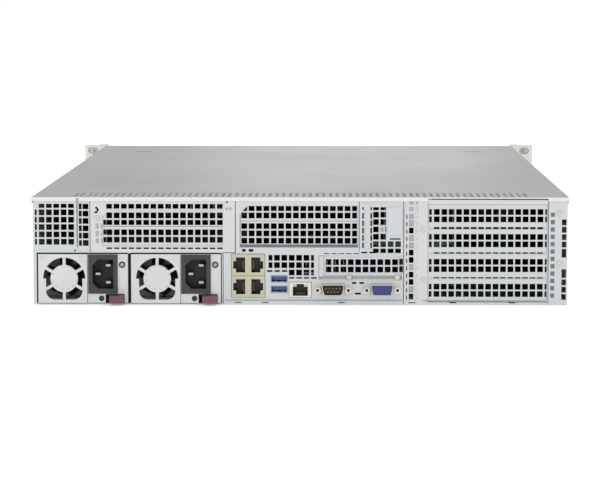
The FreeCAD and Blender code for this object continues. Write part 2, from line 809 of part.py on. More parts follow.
def dsub(x, recess):
    """A D-sub connector: body behind the panel, shell through it and two hexagonal jackscrews."""
    body = box(x - dsub_flange_width / 2, x + dsub_flange_width / 2, behind_y, rear_y + port_depth,
               board_top_z, dsub_height + dsub_flange_height / 2)
    shell = plate(dsub_outline(x, 0), [], rear_y - dsub_proud, dsub_proud + sheet)
    hollow = plate(dsub_outline(x, -port_rim), [], rear_y - dsub_proud, recess)
    found = [joined([body, shell.cut(hollow)])]
    for side in (-1, 1):
        corners = polygon(x + side * jackscrew_spread / 2, dsub_height, jackscrew_across, 6)
        found.append(plate(corners, [], rear_y - dsub_proud, dsub_proud))
    return found


def serial_port():
    return dsub(serial_x, serial_recess)


def vga_port():
    return dsub(vga_x, vga_recess)


# Board

def motherboard():
    """The main board, an L that passes beside the power supplies and then fills the width."""
    left, right = io_left_x + board_side_gap, inner_x - board_side_gap
    y0 = rear_y + board_gap
    points = [(left, y0), (right, y0), (right, board_front_y), (-right, board_front_y),
              (-right, board_turn_y), (left, board_turn_y)]
    corners = [FreeCAD.Vector(x, y, board_z) for x, y in points]
    face = Part.Face(Part.makePolygon(corners + corners[:1]))
    return face.extrude(FreeCAD.Vector(0, 0, board_thickness))


def processor_centres():
    return [(side * processor_spread / 2, processor_y) for side in (-1, 1)]


def cpu_heatsinks():
    """A finned heatsink on each processor's socket, with its fins along the air's way."""
    found = []
    base_z = board_top_z + socket_height
    pitch = (heatsink_width - heatsink_fin) / (heatsink_fins - 1)
    for x, y in processor_centres():
        x0 = x - heatsink_width / 2
        points = [(x0, base_z), (x0 + heatsink_width, base_z)]
        for i in reversed(range(heatsink_fins)):
            left = x0 + i * pitch
            points += [(left + heatsink_fin, base_z + heatsink_height), (left, base_z + heatsink_height)]
            if i:
                points += [(left, base_z + heatsink_base),
                           (left - pitch + heatsink_fin, base_z + heatsink_base)]
        fins = plate(points, [], y - heatsink_depth / 2, heatsink_depth)
        half = socket_size / 2
        found.append(joined([fins, box(x - half, x + half, y - half, y + half, board_top_z, base_z)]))
    return found


def memory_places():
    """The slots' places: a bank on each side of each processor."""
    clear = heatsink_width / 2 + memory_slot_width
    return [(x + side * (clear + i * memory_pitch), y) for x, y in processor_centres()
            for side in (-1, 1) for i in range(memory_per_bank)]


def memory_modules():
    """The memory sockets, each with its module."""
    found = []
    for x, y in memory_places():
        top = board_top_z + memory_slot_height
        socket = box(x - memory_slot_width / 2, x + memory_slot_width / 2, y - memory_slot_length / 2,
                     y + memory_slot_length / 2, board_top_z, top)
        found += [socket, box(x - memory_thickness / 2, x + memory_thickness / 2, y - memory_length / 2,
                              y + memory_length / 2, top, top + memory_height)]
    return found


def riser_slots(x, side, heights):
    """Expansion slots on one face of an upright card."""
    y0 = rear_y + riser_setback + riser_slot_setback
    return [box(*sorted((x, x + side * riser_slot_depth)), y0, y0 + riser_slot_length,
                z - riser_slot_height / 2, z + riser_slot_height / 2) for z in heights]


def riser_cards():
    """Two upright cards on the board: one serves the upper brackets and one the long slots."""
    y0, y1 = rear_y + riser_setback, rear_y + riser_setback + riser_length
    left, right = io_left_x + board_side_gap + riser_inset, right_riser_x + right_riser_inset
    top = panel_top_z - 2 * border
    cards = [box(x, x + riser_thickness, y0, y1, board_top_z, top) for x in (left, right)]
    upper = slot_centres()[-2:]
    return (cards + riser_slots(left, -1, upper) + riser_slots(left + riser_thickness, 1, upper)
            + riser_slots(right + riser_thickness, 1, slot_centres()))


# Cooling

def fan_centres():
    pitch = 2 * inner_x / fan_count
    return [(-inner_x + (i + 0.5) * pitch, fan_z + fan_size / 2) for i in range(fan_count)]


def rotor(x, y, z, length, hub, radius, blades):
    """A fan's impeller, whose hub has flats and turns against its motor plate, with pitched blades."""
    body = plate(polygon(x, z, hub, 2 * blades, 90.0 / blades), [], y, length)
    flat = hub * math.cos(math.radians(90.0 / blades))
    pieces = [body]
    chord = 0.86 * length / math.cos(math.radians(blade_pitch))
    for i in range(blades):
        blade = box(-blade_thickness / 2, blade_thickness / 2, -chord / 2, chord / 2, flat - 1, radius)
        blade.rotate(FreeCAD.Vector(0, 0, 0), FreeCAD.Vector(0, 0, 1), blade_pitch)
        blade.rotate(FreeCAD.Vector(0, 0, 0), FreeCAD.Vector(0, 1, 0), 360.0 * i / blades)
        blade.translate(FreeCAD.Vector(x, y + length / 2, z))
        pieces.append(blade)
    return joined(pieces)


def fan_rotor(index):
    x, z = fan_centres()[index]
    return rotor(x, fan_y + fan_hub_plate, z, fan_depth - fan_hub_plate - running_gap, fan_hub,
                 fan_rotor_radius, fan_blades)


def fan_housings():
    """Square frames with a round bore, and a motor plate on four struts."""
    found = []
    for x, z in fan_centres():
        frame = centred_box(x, z, fan_size, fan_size, fan_y, fan_y + fan_depth)
        pieces = [frame.cut(cylinder_y(x, fan_y, fan_y + fan_depth, z, fan_bore)),
                  cylinder_y(x, fan_y, fan_y + fan_hub_plate, z, fan_hub)]
        for turn in (45, 135):
            strut = centred_box(x, z, 2 * fan_bore + fan_strut, fan_strut, fan_y, fan_y + fan_hub_plate)
            strut.rotate(FreeCAD.Vector(x, fan_y, z), FreeCAD.Vector(0, 1, 0), turn)
            pieces.append(strut)
        found.append(joined(pieces))
    return found


def fan_wall():
    """The partition that the fans stand against, with a window for each and posts beside them."""
    wall_y = fan_y + fan_depth
    window = fan_size - 2 * fan_window_lap
    windows = [rectangle(x - window / 2, x + window / 2, z - window / 2, z + window / 2)
               for x, z in fan_centres()]
    pieces = [plate(rectangle(-inner_x, inner_x, sheet, flange_z), windows, wall_y, sheet),
              box(-inner_x, inner_x, fan_y, wall_y, sheet, fan_z)]
    for x, _ in fan_centres():
        for side in (-1, 1):
            edge = x + side * (fan_size / 2 + fan_post_slip)
            pieces.append(box(*sorted((edge, edge + side * sheet)), fan_y, wall_y,
                              fan_z, fan_z + fan_size / 2))
    return joined(pieces)


def air_shroud():
    """The duct over processors and memory, which stands on the board."""
    y1 = fan_y - duct_fan_gap
    y0 = y1 - duct_length
    half = inner_x - duct_side_gap
    duct = box(-half, half, y0, y1, board_top_z, duct_height)
    return duct.cut(box(-half + duct_wall, half - duct_wall, y0, y1, board_top_z, duct_height - duct_wall))


# Drive bays

def bay_origin(index):
    """The lower left corner of a bay's clear space, seen from the connector side."""
    column, row = index % bay_columns, index // bay_columns
    return (-inner_x + column * carrier_pitch + sheet / 2 + carrier_gap,
            sheet + row * row_pitch + carrier_gap)


def drive_cage():
    """Uprights between the columns of bays and a shelf over each row."""
    pieces = []
    for i in range(1, bay_columns):
        x = -inner_x + i * carrier_pitch
        pieces.append(box(x - sheet / 2, x + sheet / 2, cage_rear_y, front_y, sheet, cage_top_z))
    for i in range(1, bay_rows + 1):
        z = sheet + i * row_pitch
        pieces.append(box(-inner_x, inner_x, cage_rear_y, front_y, z - shelf, z))
    return joined(pieces)


def backplane():
    """The drives' board, with a connector facing each bay."""
    y1 = cage_rear_y - backplane_gap
    right = inner_x - board_side_gap
    found = [box(-right, right, y1 - backplane_thickness, y1, sheet, cage_top_z)]
    for i in range(bay_columns * bay_rows):
        x, z = bay_origin(i)
        middle, low = x + carrier_width / 2, z + bay_connector_rise
        found.append(box(middle - bay_connector_width / 2, middle + bay_connector_width / 2, y1,
                         y1 + backplane_gap, low, low + bay_connector_height))
    return found


def lever_place(index):
    """The lever's left end, its lower edge and its hinge line."""
    x, z = bay_origin(index)
    left = x + lever_left
    low = z + (carrier_height - lever_height) / 2
    return left, low, left + lever_thickness / 2, face_y - lever_thickness / 2


def drive_carrier(index):
    """A carrier, which is a tray with a bezel, and the disk drive that it holds."""
    x, z = bay_origin(index)
    right, back = x + carrier_width, front_y - drive_length
    left, low, pin_x, pin_y = lever_place(index)
    bezel = box(x, right, bezel_y, face_y, z, z + carrier_height)
    bezel = bezel.cut(box(left - lever_gap, left + lever_length + lever_gap,
                          face_y - lever_thickness - lever_gap, face_y,
                          low - lever_gap, low + lever_height + lever_gap))
    pin = cylinder_z(pin_x, pin_y, low - lever_gap, low + lever_height + lever_gap, hinge_pin_radius)
    tray = outline([(x, z), (right, z), (right, z + carrier_rail_height),
                    (right - carrier_rail, z + carrier_rail_height),
                    (right - carrier_rail, z + carrier_floor), (x + carrier_rail, z + carrier_floor),
                    (x + carrier_rail, z + carrier_rail_height), (x, z + carrier_rail_height)], back)
    tray = Part.Face(tray).extrude(FreeCAD.Vector(0, bezel_y - back, 0))
    middle = x + carrier_width / 2
    drive = box(middle - drive_width / 2, middle + drive_width / 2, back, back + drive_length,
                z + carrier_floor, z + carrier_floor + drive_height)
    return [joined([bezel, pin, tray]), drive]


def carrier_lever(index):
    """The latch lever: a bar with bevelled corners by its hinge pin and a finger recess."""
    left, low, pin_x, pin_y = lever_place(index)
    lever = box(left, left + lever_length, face_y - lever_thickness, face_y, low, low + lever_height)
    near = [e for e in edges_along(lever, FreeCAD.Vector(0, 0, 1)) if e.CenterOfMass.x < pin_x]
    lever = lever.makeChamfer(lever_bevel, near)
    grip_end = left + lever_length - lever_grip_inset
    grip = box(grip_end - lever_grip_length, grip_end, face_y - lever_grip_depth, face_y,
               low + lever_grip_inset, low + lever_height - lever_grip_inset)
    return lever.cut(grip).cut(cylinder_z(pin_x, pin_y, low, low + lever_height,
                                          hinge_pin_radius + hinge_clear))


def front_panel():
    """The vented panel over the bays."""
    low, high = cage_top_z + vent_row_inset, flange_z - vent_row_inset
    pitch = (2 * inner_x - vent_row_inset) / front_vents
    holes = []
    for i in range(front_vents):
        x = -inner_x + vent_row_inset + i * pitch
        holes.append(rectangle(x, x + pitch - front_vent_rib, low, high))
    return plate(rectangle(-inner_x, inner_x, cage_top_z, flange_z), holes, front_y - sheet, sheet)


# Rack ears

def rack_slot(x, z):
    """The solid to cut for one rack slot, with round ends."""
    half = rack_slot_length / 2 - rack_slot_radius
    y0, y1 = front_y - ear_thickness, front_y
    return joined([box(x - half, x + half, y0, y1, z - rack_slot_radius, z + rack_slot_radius),
                   cylinder_y(x - half, y0, y1, z, rack_slot_radius),
                   cylinder_y(x + half, y0, y1, z, rack_slot_radius)])


def rack_ear(side):
    """One ear: the flange with its rack slots, the arm along the wall and the grip."""
    low, high = ear_rise, ear_rise + ear_height
    middle = (low + high) / 2
    grip = side_box(side, wall_x, wall_x + grip_width, front_y, front_y + grip_depth, low, high)
    outer = edges_along(grip, FreeCAD.Vector(0, 0, 1), front_y + grip_depth / 2)
    grip = grip.makeFillet(grip_rounding, outer)
    ear = joined([side_box(side, wall_x, rack_width / 2, front_y - ear_thickness, front_y, low, high),
                  side_box(side, wall_x, chassis_width / 2, front_y - ear_arm_length, front_y,
                           middle - ear_arm_height / 2, middle + ear_arm_height / 2), grip])
    for rise in (-1, 1):
        ear = ear.cut(rack_slot(side * rack_hole_spread / 2, middle + rise * rack_hole_rise / 2))
    return ear


def rack_ears():
    """Both ears, with the two buttons' bores in the left one."""
    left, right = rack_ear(-1), rack_ear(1)
    y1 = front_y + grip_depth
    y0 = y1 + button_proud - button_length - button_travel - button_fit
    for rise, size in ((power_button_rise, power_button_size), (reset_button_rise, reset_button_size)):
        side = size + 2 * button_fit
        left = left.cut(centred_box(-grip_x, rise, side, side, y0, y1))
    return [left, right]


def ear_button(rise, size):
    y1 = front_y + grip_depth + button_proud
    return centred_box(-grip_x, rise, size, size, y1 - button_length, y1)


def power_button():
    return ear_button(power_button_rise, power_button_size)


def reset_button():
    return ear_button(reset_button_rise, reset_button_size)


# Power supplies

def psu_left(index):
    return psu_first_x + index * (psu_width + psu_gap)


def psu_fan_centre(index):
    return psu_left(index) + psu_fan_left, psu_z + psu_height / 2


def psu_case(index):
    """A supply's case, with pockets for its fan, inlet and latch, and the guard on its face."""
    x, z = psu_left(index), psu_z
    fan_x, centre_z = psu_fan_centre(index)
    case = box(x, x + psu_width, rear_y, rear_y + psu_depth, z, z + psu_height)
    case = case.cut(box(x, x + psu_clear + guard_width + guard_fit, rear_y,
                        rear_y + guard_thickness - guard_proud, z, z + psu_height))
    pocket = 2 * guard_opening
    case = case.cut(centred_box(fan_x, centre_z, pocket, pocket, rear_y, rear_y + psu_fan_pocket))
    case = case.cut(box(x + inlet_left, x + inlet_left + inlet_width, rear_y, rear_y + inlet_depth,
                        z + inlet_bottom, z + inlet_bottom + inlet_height))
    latch_x = x + latch_left
    case = case.cut(box(latch_x - latch_travel - latch_clear, latch_x + latch_width + latch_clear,
                        rear_y, rear_y + latch_arm + latch_clear, z, z + latch_height + 2 * latch_clear))
    return [case, psu_fan_guard(index)]


def psu_fan_guard(index):
    """The guard: an opening that is round above and squared below, with spokes and a hub disc."""
    x, z = psu_fan_centre(index)
    left, y0 = psu_left(index) + psu_clear, rear_y - guard_proud
    y1 = y0 + guard_thickness
    frame = box(left, left + guard_width, y0, y1, psu_z, psu_z + psu_height)
    upper = cylinder_y(x, y0, y1, z, guard_opening)
    upper = upper.common(box(x - guard_opening, x + guard_opening, y0, y1, z, z + guard_opening))
    lower = centred_box(x, z, 2 * guard_bowl, 2 * guard_opening, y0, y1)
    lower = lower.makeFillet(guard_bowl_corner, edges_along(lower, FreeCAD.Vector(0, 1, 0)))
    lower = lower.common(box(x - guard_opening, x + guard_opening, y0, y1, z - guard_opening, z))
    opening = joined([upper, lower])
    pieces = [frame.cut(opening), cylinder_y(x, y0, y1, z, guard_hub)]
    for i in range(guard_spokes // 2):
        spoke = centred_box(x, z, 2 * guard_opening, guard_spoke, y0, y1)
        spoke.rotate(FreeCAD.Vector(x, y0, z), FreeCAD.Vector(0, 1, 0), 30 + 360.0 / guard_spokes * i)
        pieces.append(spoke.common(frame))
    return joined(pieces)


def psu_inlet(index):
    """The mains inlet turned on its side, with its three blades."""
    left, low = psu_left(index) + inlet_left, psu_z + inlet_bottom
    front = rear_y - inlet_proud
    x, z = left + inlet_width / 2, low + inlet_height / 2
    x0, x1, z0, z1 = x - cavity_width / 2, x + cavity_width / 2, z - cavity_height / 2, z + cavity_height / 2
    mouth = [(x0 + cavity_corner, z0), (x1, z0), (x1, z1), (x0 + cavity_corner, z1),
             (x0, z1 - cavity_corner), (x0, z0 + cavity_corner)]
    body = box(left, left + inlet_width, front, rear_y + inlet_depth, low, low + inlet_height)
    pieces = [body.cut(plate(mouth, [], front, cavity_depth))]
    for px, pz in ((x + pin_offset, z + pin_spread / 2), (x + pin_offset, z - pin_spread / 2),
                   (x - pin_offset, z)):
        pieces.append(centred_box(px, pz, pin_width, pin_thickness, rear_y + pin_setback,
                                  front + cavity_depth))
    return joined(pieces)


def psu_latch(index):
    """The release latch: a thumb tab on an arm that slides sideways in the case."""
    left = psu_left(index) + latch_left
    right, low = left + latch_width, psu_z + latch_clear
    high = low + latch_height - latch_clear
    tab = box(left, right, rear_y - latch_proud, rear_y, low, high)
    upright = edges_along(tab, FreeCAD.Vector(0, 0, 1))
    tab = tab.makeFillet(latch_rounding, [e for e in upright if e.CenterOfMass.y < rear_y - latch_proud / 2])
    foot = box(left, right, rear_y, rear_y + latch_arm_width, low, high)
    arm = box(right - latch_arm_width, right, rear_y, rear_y + latch_arm, low, high)
    return joined([tab, foot, arm])


def psu_rotor(index):
    x, z = psu_fan_centre(index)
    return rotor(x, rear_y + psu_fan_pocket - psu_rotor_length, z, psu_rotor_length, psu_rotor_hub,
                 psu_rotor_radius, psu_blades)


def save(name, shape):
    whole = Part.makeCompound(shape) if isinstance(shape, list) else shape
    whole.exportStep(os.path.join("parts", name + ".step"))


def main():
    os.makedirs("parts", exist_ok=True)
    for make in (chassis_base, top_cover, front_top_plate, psu_cage, left_riser_bracket,
                 middle_riser_bracket, left_slot_covers, middle_slot_covers, vent_panel, io_panel,
                 low_profile_cover, right_riser_bracket, right_slot_covers, lan_ports, usb_ports,
                 management_port, serial_port, vga_port, motherboard, cpu_heatsinks, memory_modules,
                 riser_cards, fan_housings, fan_wall, air_shroud, drive_cage, backplane, front_panel,
                 rack_ears, power_button, reset_button):
        save(make.__name__, make())
    for i in range(psu_count):
        for name, make in (("case", psu_case), ("inlet", psu_inlet), ("latch", psu_latch),
                           ("rotor", psu_rotor)):
            save("psu_%d_%s" % (i + 1, name), make(i))
    for i in range(fan_count):
        save("fan_rotor_%d" % (i + 1), fan_rotor(i))
    for i in range(bay_columns * bay_rows):
        save("drive_carrier_%d" % (i + 1), drive_carrier(i))
        save("carrier_lever_%d" % (i + 1), carrier_lever(i))


main()
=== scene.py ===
# Finishes and small parts for the two-unit server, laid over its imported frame.
from math import atan2, cos, pi, radians, sin

import bmesh
import bpy
from mathutils import Matrix, Vector


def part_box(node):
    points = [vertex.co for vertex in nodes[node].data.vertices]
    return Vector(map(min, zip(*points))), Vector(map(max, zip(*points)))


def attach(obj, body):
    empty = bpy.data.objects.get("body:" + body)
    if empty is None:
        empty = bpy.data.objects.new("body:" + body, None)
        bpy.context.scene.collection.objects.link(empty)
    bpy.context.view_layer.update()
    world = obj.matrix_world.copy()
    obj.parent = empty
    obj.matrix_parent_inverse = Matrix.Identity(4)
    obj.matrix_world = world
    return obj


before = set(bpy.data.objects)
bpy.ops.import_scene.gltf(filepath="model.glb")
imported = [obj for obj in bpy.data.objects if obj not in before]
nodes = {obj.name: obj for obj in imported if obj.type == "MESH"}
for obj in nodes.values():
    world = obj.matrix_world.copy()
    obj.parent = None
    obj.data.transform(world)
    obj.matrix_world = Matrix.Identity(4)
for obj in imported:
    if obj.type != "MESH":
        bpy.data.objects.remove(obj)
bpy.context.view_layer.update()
print("frame loaded:", len(nodes), "nodes")


def place(node):
    # a node's lowest and highest corners in millimetres
    low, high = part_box(node)
    return low * 1000, high * 1000


class Signal:
    # one output socket, so that a sum on it reads as Python
    def __init__(self, finish, socket):
        self.finish, self.socket = finish, socket

    def math(self, operation, *terms):
        return self.finish.add("ShaderNodeMath", {"operation": operation}, dict(enumerate(terms)))

    def __add__(self, other):
        return self.math("ADD", self, other)

    def __sub__(self, other):
        return self.math("SUBTRACT", self, other)

    def __rsub__(self, other):
        return self.math("SUBTRACT", other, self)

    def __mul__(self, other):
        return self.math("MULTIPLY", self, other)

    def __gt__(self, other):
        return self.math("GREATER_THAN", self, other)

    def __lt__(self, other):
        return self.math("LESS_THAN", self, other)

    def away(self, centre):
        # distance from a plane
        return self.math("ABSOLUTE", self - centre)

    def spread(self, low, high):
        # 0 at low and 1 at high, held at both ends
        return self.finish.add("ShaderNodeMapRange", {"clamp": True},
                               {0: self, 1: low, 2: high, 3: 0.0, 4: 1.0})

    __radd__ = __add__
    __rmul__ = __mul__


class Finish:
    # a node material in the making
    def __init__(self, name):
        self.material = bpy.data.materials.new(name)
        self.material.use_nodes = True
        self.tree = self.material.node_tree
        self.tree.nodes.clear()
        self.spot = self.add("ShaderNodeTexCoord", output="Object")

    def add(self, kind, settings=None, inputs=None, output=0):
        node = self.tree.nodes.new(kind)
        for key, value in (settings or {}).items():
            if key == "stops":
                while len(node.color_ramp.elements) < len(value):
                    node.color_ramp.elements.new(0.5)
                for stop, (position, tint) in zip(node.color_ramp.elements, value):
                    stop.position, stop.color = position, (*tint, 1)
            else:
                setattr(node, key, value)
        for key, value in (inputs or {}).items():
            if isinstance(value, Signal):
                self.tree.links.new(value.socket, node.inputs[key])
            elif isinstance(value, tuple) and node.inputs[key].type == "RGBA":
                node.inputs[key].default_value = (*value, 1)
            else:
                node.inputs[key].default_value = value
        return Signal(self, node.outputs[output]) if len(node.outputs) else None

    def stretched(self, scale):
        return self.add("ShaderNodeMapping", {}, {"Vector": self.spot, "Scale": scale})

    def noise(self, scale, detail=3.0, where=None):
        return self.add("ShaderNodeTexNoise", {}, {"Vector": where or self.spot, "Scale": scale,
                                                   "Detail": detail})

    def cells(self, scale, where=None, metric="EUCLIDEAN", output="Distance"):
        return self.add("ShaderNodeTexVoronoi", {"distance": metric},
                        {"Vector": where or self.spot, "Scale": scale}, output)

    def axes(self):
        # the three coordinates on the piece, in millimetres
        parts = self.add("ShaderNodeSeparateXYZ", {}, {0: self.spot}).socket.node.outputs
        return [Signal(self, part) * 1000.0 for part in parts]

    def blend(self, factor, first, second):
        return self.add("ShaderNodeMix", {"data_type": "RGBA"}, {0: factor, 6: first, 7: second}, 2)

    def rounded(self, radius):
        # the normal with its corners rounded, and how near a corner the point is
        soft = self.add("ShaderNodeBevel", {"samples": 4}, {"Radius": radius})
        flat = self.add("ShaderNodeNewGeometry", output="Normal")
        facing = self.add("ShaderNodeVectorMath", {"operation": "DOT_PRODUCT"}, {0: soft, 1: flat}, "Value")
        return soft, (1.0 - facing).spread(0.01, 0.16)

    def bump(self, height, distance, normal=None):
        inputs = {"Height": height, "Distance": distance, "Strength": 1.0}
        if normal:
            inputs["Normal"] = normal
        return self.add("ShaderNodeBump", {}, inputs)

    def close(self, sockets):
        shader = self.add("ShaderNodeBsdfPrincipled", {}, sockets)
        self.add("ShaderNodeOutputMaterial", {}, {"Surface": shader})
        return self.material


def scaled(tone, factor, lift=0.0):
    return tuple(min(1.0, c * factor + lift) for c in tone)


# Sheet metals: the rolled tone, its duller patches, gloss, how metallic, and the way of the rolling lines
sheetLooks = {
    "zincSheet": ((0.58, 0.60, 0.61), (0.50, 0.515, 0.53), 0.42, 0.35, (14, 14, 420)),
    "bracketSheet": ((0.60, 0.61, 0.62), (0.52, 0.53, 0.54), 0.38, 0.45, (14, 14, 420)),
    "blankSheet": ((0.575, 0.59, 0.60), (0.50, 0.515, 0.53), 0.40, 0.40, (420, 14, 14)),
    "coverSheet": ((0.300, 0.299, 0.304), (0.262, 0.262, 0.269), 0.46, 0.55, (14, 420, 14)),
    "nickelShell": ((0.74, 0.70, 0.62), (0.60, 0.56, 0.50), 0.30, 0.80, (200, 30, 200)),
    "finAluminium": ((0.78, 0.79, 0.80), (0.66, 0.67, 0.68), 0.34, 0.90, (300, 8, 8)),
    "earPaint": ((0.72, 0.715, 0.69), (0.66, 0.655, 0.635), 0.50, 0.10, (40, 40, 40)),
    "screwSteel": ((0.66, 0.64, 0.57), (0.54, 0.51, 0.45), 0.32, 0.75, (200, 200, 200)),
    "pinMetal": ((0.44, 0.44, 0.44), (0.34, 0.34, 0.35), 0.22, 0.90, (60, 400, 60)),
    "goldContact": ((0.42, 0.33, 0.18), (0.32, 0.24, 0.12), 0.30, 0.95, (60, 300, 60)),
}


def sheetMetal(name):
    tone, dull, rough, metal, lines = sheetLooks[name]
    finish = Finish(name)
    rolled = finish.noise(1.0, 4.0, finish.stretched(lines))
    patches = finish.noise(11.0, 4.0)
    spangle = finish.cells(420.0)
    handled = finish.noise(38.0, 5.0).spread(0.55, 0.75)
    normal, edge = finish.rounded(0.00045)
    tint = finish.blend(rolled * 0.35 + patches * 0.65, tone, dull)
    # lighter along edges: partly worn bare edges, partly a painted highlight
    wornAndEdgeLit = finish.blend(edge * 0.7, tint, scaled(tone, 1.3))
    gloss = rough + (patches - 0.5) * 0.14 + handled * 0.06 - edge * 0.08 + (rolled - 0.5) * 0.06
    height = rolled * 0.6 + spangle * 0.15
    return finish.close({"Base Color": wornAndEdgeLit, "Roughness": gloss, "Metallic": metal,
                         "Normal": finish.bump(height, 0.000012, normal)})


# Moulded plastics: the colour, a second shade of it, gloss and the grain's size per metre
plasticLooks = {
    "inletPlastic": ((0.034, 0.035, 0.038), (0.022, 0.023, 0.025), 0.48, 1500),
    "releasePlastic": ((0.20, 0.080, 0.100), (0.14, 0.052, 0.068), 0.42, 1200),
    "fanPlastic": ((0.012, 0.012, 0.013), (0.007, 0.007, 0.008), 0.45, 1100),
    "shroudPlastic": ((0.035, 0.036, 0.040), (0.022, 0.023, 0.025), 0.50, 900),
    "leverPlastic": ((0.060, 0.062, 0.068), (0.042, 0.044, 0.048), 0.44, 1300),
    "buttonPlastic": ((0.62, 0.63, 0.66), (0.54, 0.55, 0.58), 0.36, 1500),
    "bluePlastic": ((0.030, 0.085, 0.30), (0.020, 0.055, 0.20), 0.40, 1500),
    "videoPlastic": ((0.042, 0.056, 0.27), (0.030, 0.040, 0.19), 0.42, 1500),
    "socketBlack": ((0.018, 0.018, 0.019), (0.010, 0.010, 0.011), 0.52, 1500),
    "chipBlack": ((0.024, 0.024, 0.027), (0.016, 0.016, 0.018), 0.36, 2200),
    "lampAmber": ((0.62, 0.55, 0.36), (0.50, 0.43, 0.26), 0.22, 900),
    "lampGreen": ((0.46, 0.52, 0.38), (0.36, 0.42, 0.28), 0.22, 900),
    "lampClear": ((0.40, 0.41, 0.40), (0.28, 0.29, 0.28), 0.18, 900),
    "copperWire": ((0.42, 0.20, 0.10), (0.30, 0.14, 0.07), 0.30, 1200),
    "headerWhite": ((0.72, 0.70, 0.64), (0.62, 0.60, 0.54), 0.40, 1300),
}


def mouldedPlastic(name):
    tone, shade, rough, fineness = plasticLooks[name]
    finish = Finish(name)
    grain = finish.noise(float(fineness), 3.0)
    flow = finish.noise(30.0, 3.0)
    rubbed = finish.noise(70.0, 5.0).spread(0.52, 0.70)
    normal, edge = finish.rounded(0.0003)
    tint = finish.blend(flow * 0.6 + grain * 0.4, tone, shade)
    # lighter at rubbed patches, which is wear, and along edges, partly wear and partly a painted highlight
    scuffedAndEdgeLit = finish.blend(edge * 0.30 + rubbed * 0.10, tint, scaled(tone, 1.5, 0.02))
    gloss = rough + (flow - 0.5) * 0.10 - edge * 0.08 + rubbed * 0.06
    return finish.close({"Base Color": scuffedAndEdgeLit, "Roughness": gloss,
                         "Normal": finish.bump(grain, 0.00002, normal)})


def holeShade():
    # painted shade: the dark of a punched hole
    finish = Finish("holeShade")
    depth = finish.noise(160.0, 2.0)
    return finish.close({"Base Color": finish.blend(depth, (0.004, 0.004, 0.005), (0.012, 0.012, 0.013)),
                         "Roughness": 0.75 + depth * 0.2, "Specular IOR Level": 0.1,
                         "Normal": finish.bump(depth, 0.00002)})


def greyRecessShade(name, tone):
    # painted shade: the grey of a hole with sheet close behind it
    finish = Finish(name)
    depth = finish.noise(240.0, 3.0)
    return finish.close({"Base Color": finish.blend(depth, tone, scaled(tone, 0.7)),
                         "Roughness": 0.5 + depth * 0.2, "Metallic": 0.2,
                         "Normal": finish.bump(depth, 0.00003)})


def circuitBoard(name, mask, lacquer):
    # solder resist with tracks and plated dots
    finish = Finish(name)
    tracks = finish.cells(210.0, None, "MANHATTAN")
    fine = finish.cells(520.0, finish.stretched((1, 1, 0.2)), "CHEBYCHEV")
    cloud = finish.noise(18.0, 3.0)
    base = finish.blend(cloud, mask, scaled(mask, 0.7))
    tracked = finish.blend((tracks > 0.42) * 0.5, base, scaled(mask, 1.9))
    dots = finish.blend((fine < 0.14) * 0.8, tracked, (0.55, 0.52, 0.44))
    normal, edge = finish.rounded(0.0003)
    trim = finish.blend(edge * 0.5, dots, (0.36, 0.34, 0.20))
    return finish.close({"Base Color": trim, "Roughness": lacquer + cloud * 0.12 - (fine < 0.14) * 0.1,
                         "Metallic": (fine < 0.14) * 0.6, "Normal": finish.bump(tracks * 0.5 + fine * 0.5,
                                                                                0.00003, normal)})


print("basic finishes described")


def metalAndMould(name, metal, mould, mask, rough):
    # a node of two stuffs, told apart by a mask on its place
    finish = Finish(name)
    grain = finish.noise(900.0, 3.0)
    flow = finish.noise(24.0, 4.0)
    normal, edge = finish.rounded(0.0004)
    where = mask(finish)
    metalTone = finish.blend(flow, metal, scaled(metal, 0.86))
    mouldTone = finish.blend(grain * 0.5 + flow * 0.5, mould, scaled(mould, 0.7))
    tint = finish.blend(where, metalTone, mouldTone)
    # lighter along edges: partly worn bare edges, partly a painted highlight
    wornAndEdgeLit = finish.blend(edge * 0.35, tint, scaled(metal, 1.1))
    gloss = rough + (flow - 0.5) * 0.16 - edge * 0.06 + where * 0.06
    return finish.close({"Base Color": wornAndEdgeLit, "Roughness": gloss, "Metallic": (1.0 - where) * 0.45,
                         "Normal": finish.bump(grain, 0.000012, normal)})


def coverPlate():
    # the lid's brushed sheet, with a painted highlight where it is folded over the rear edge
    tone, dull, rough, metal, rolling = sheetLooks["coverSheet"]
    finish = Finish("coverPlate")
    lines = finish.noise(1.0, 5.0, finish.stretched(rolling))
    patches = finish.noise(9.0, 4.0)
    handled = finish.noise(26.0, 5.0).spread(0.56, 0.78)
    normal, edge = finish.rounded(0.0006)
    # the lip over the rear edge is the same sheet, painted lighter as a highlight
    litFold = finish.axes()[1] < rear - 0.02
    tint = finish.blend(lines * 0.5 + patches * 0.5, tone, dull)
    litFoldTint = finish.blend(litFold, tint, (0.66, 0.67, 0.67))
    # lighter along edges: partly worn bare edges, partly a painted highlight
    wornAndEdgeLit = finish.blend(edge * 0.5, litFoldTint, (0.78, 0.78, 0.78))
    gloss = rough + (patches - 0.5) * 0.12 + handled * 0.05 - edge * 0.08
    return finish.close({"Base Color": wornAndEdgeLit, "Roughness": gloss, "Metallic": metal,
                         "Normal": finish.bump(lines * 0.7 + handled * 0.2, 0.000014, normal)})


rear = place("psu_cage")[0].y
lanLow, lanHigh = place("lan_ports")
usbLow, usbHigh = place("usb_ports")
jackLow, jackHigh = place("management_port")
cardsLow, cardsHigh = place("riser_cards")
socketTop = place("memory_modules")[0].z + 8.0
bezelBack = place("drive_carrier_1")[1].y - 15.2


def behind(y):
    return lambda finish: finish.axes()[1] > y


def belowTop(z):
    return lambda finish: finish.axes()[2] < z


def besideCards(finish):
    # the sockets on the upright cards, which stand clear of the laminate's two planes
    x = finish.axes()[0]
    first = x.away(cardsLow.x + 12.0) > 1.1
    second = x.away(cardsHigh.x - 12.0) > 1.1
    return first * second


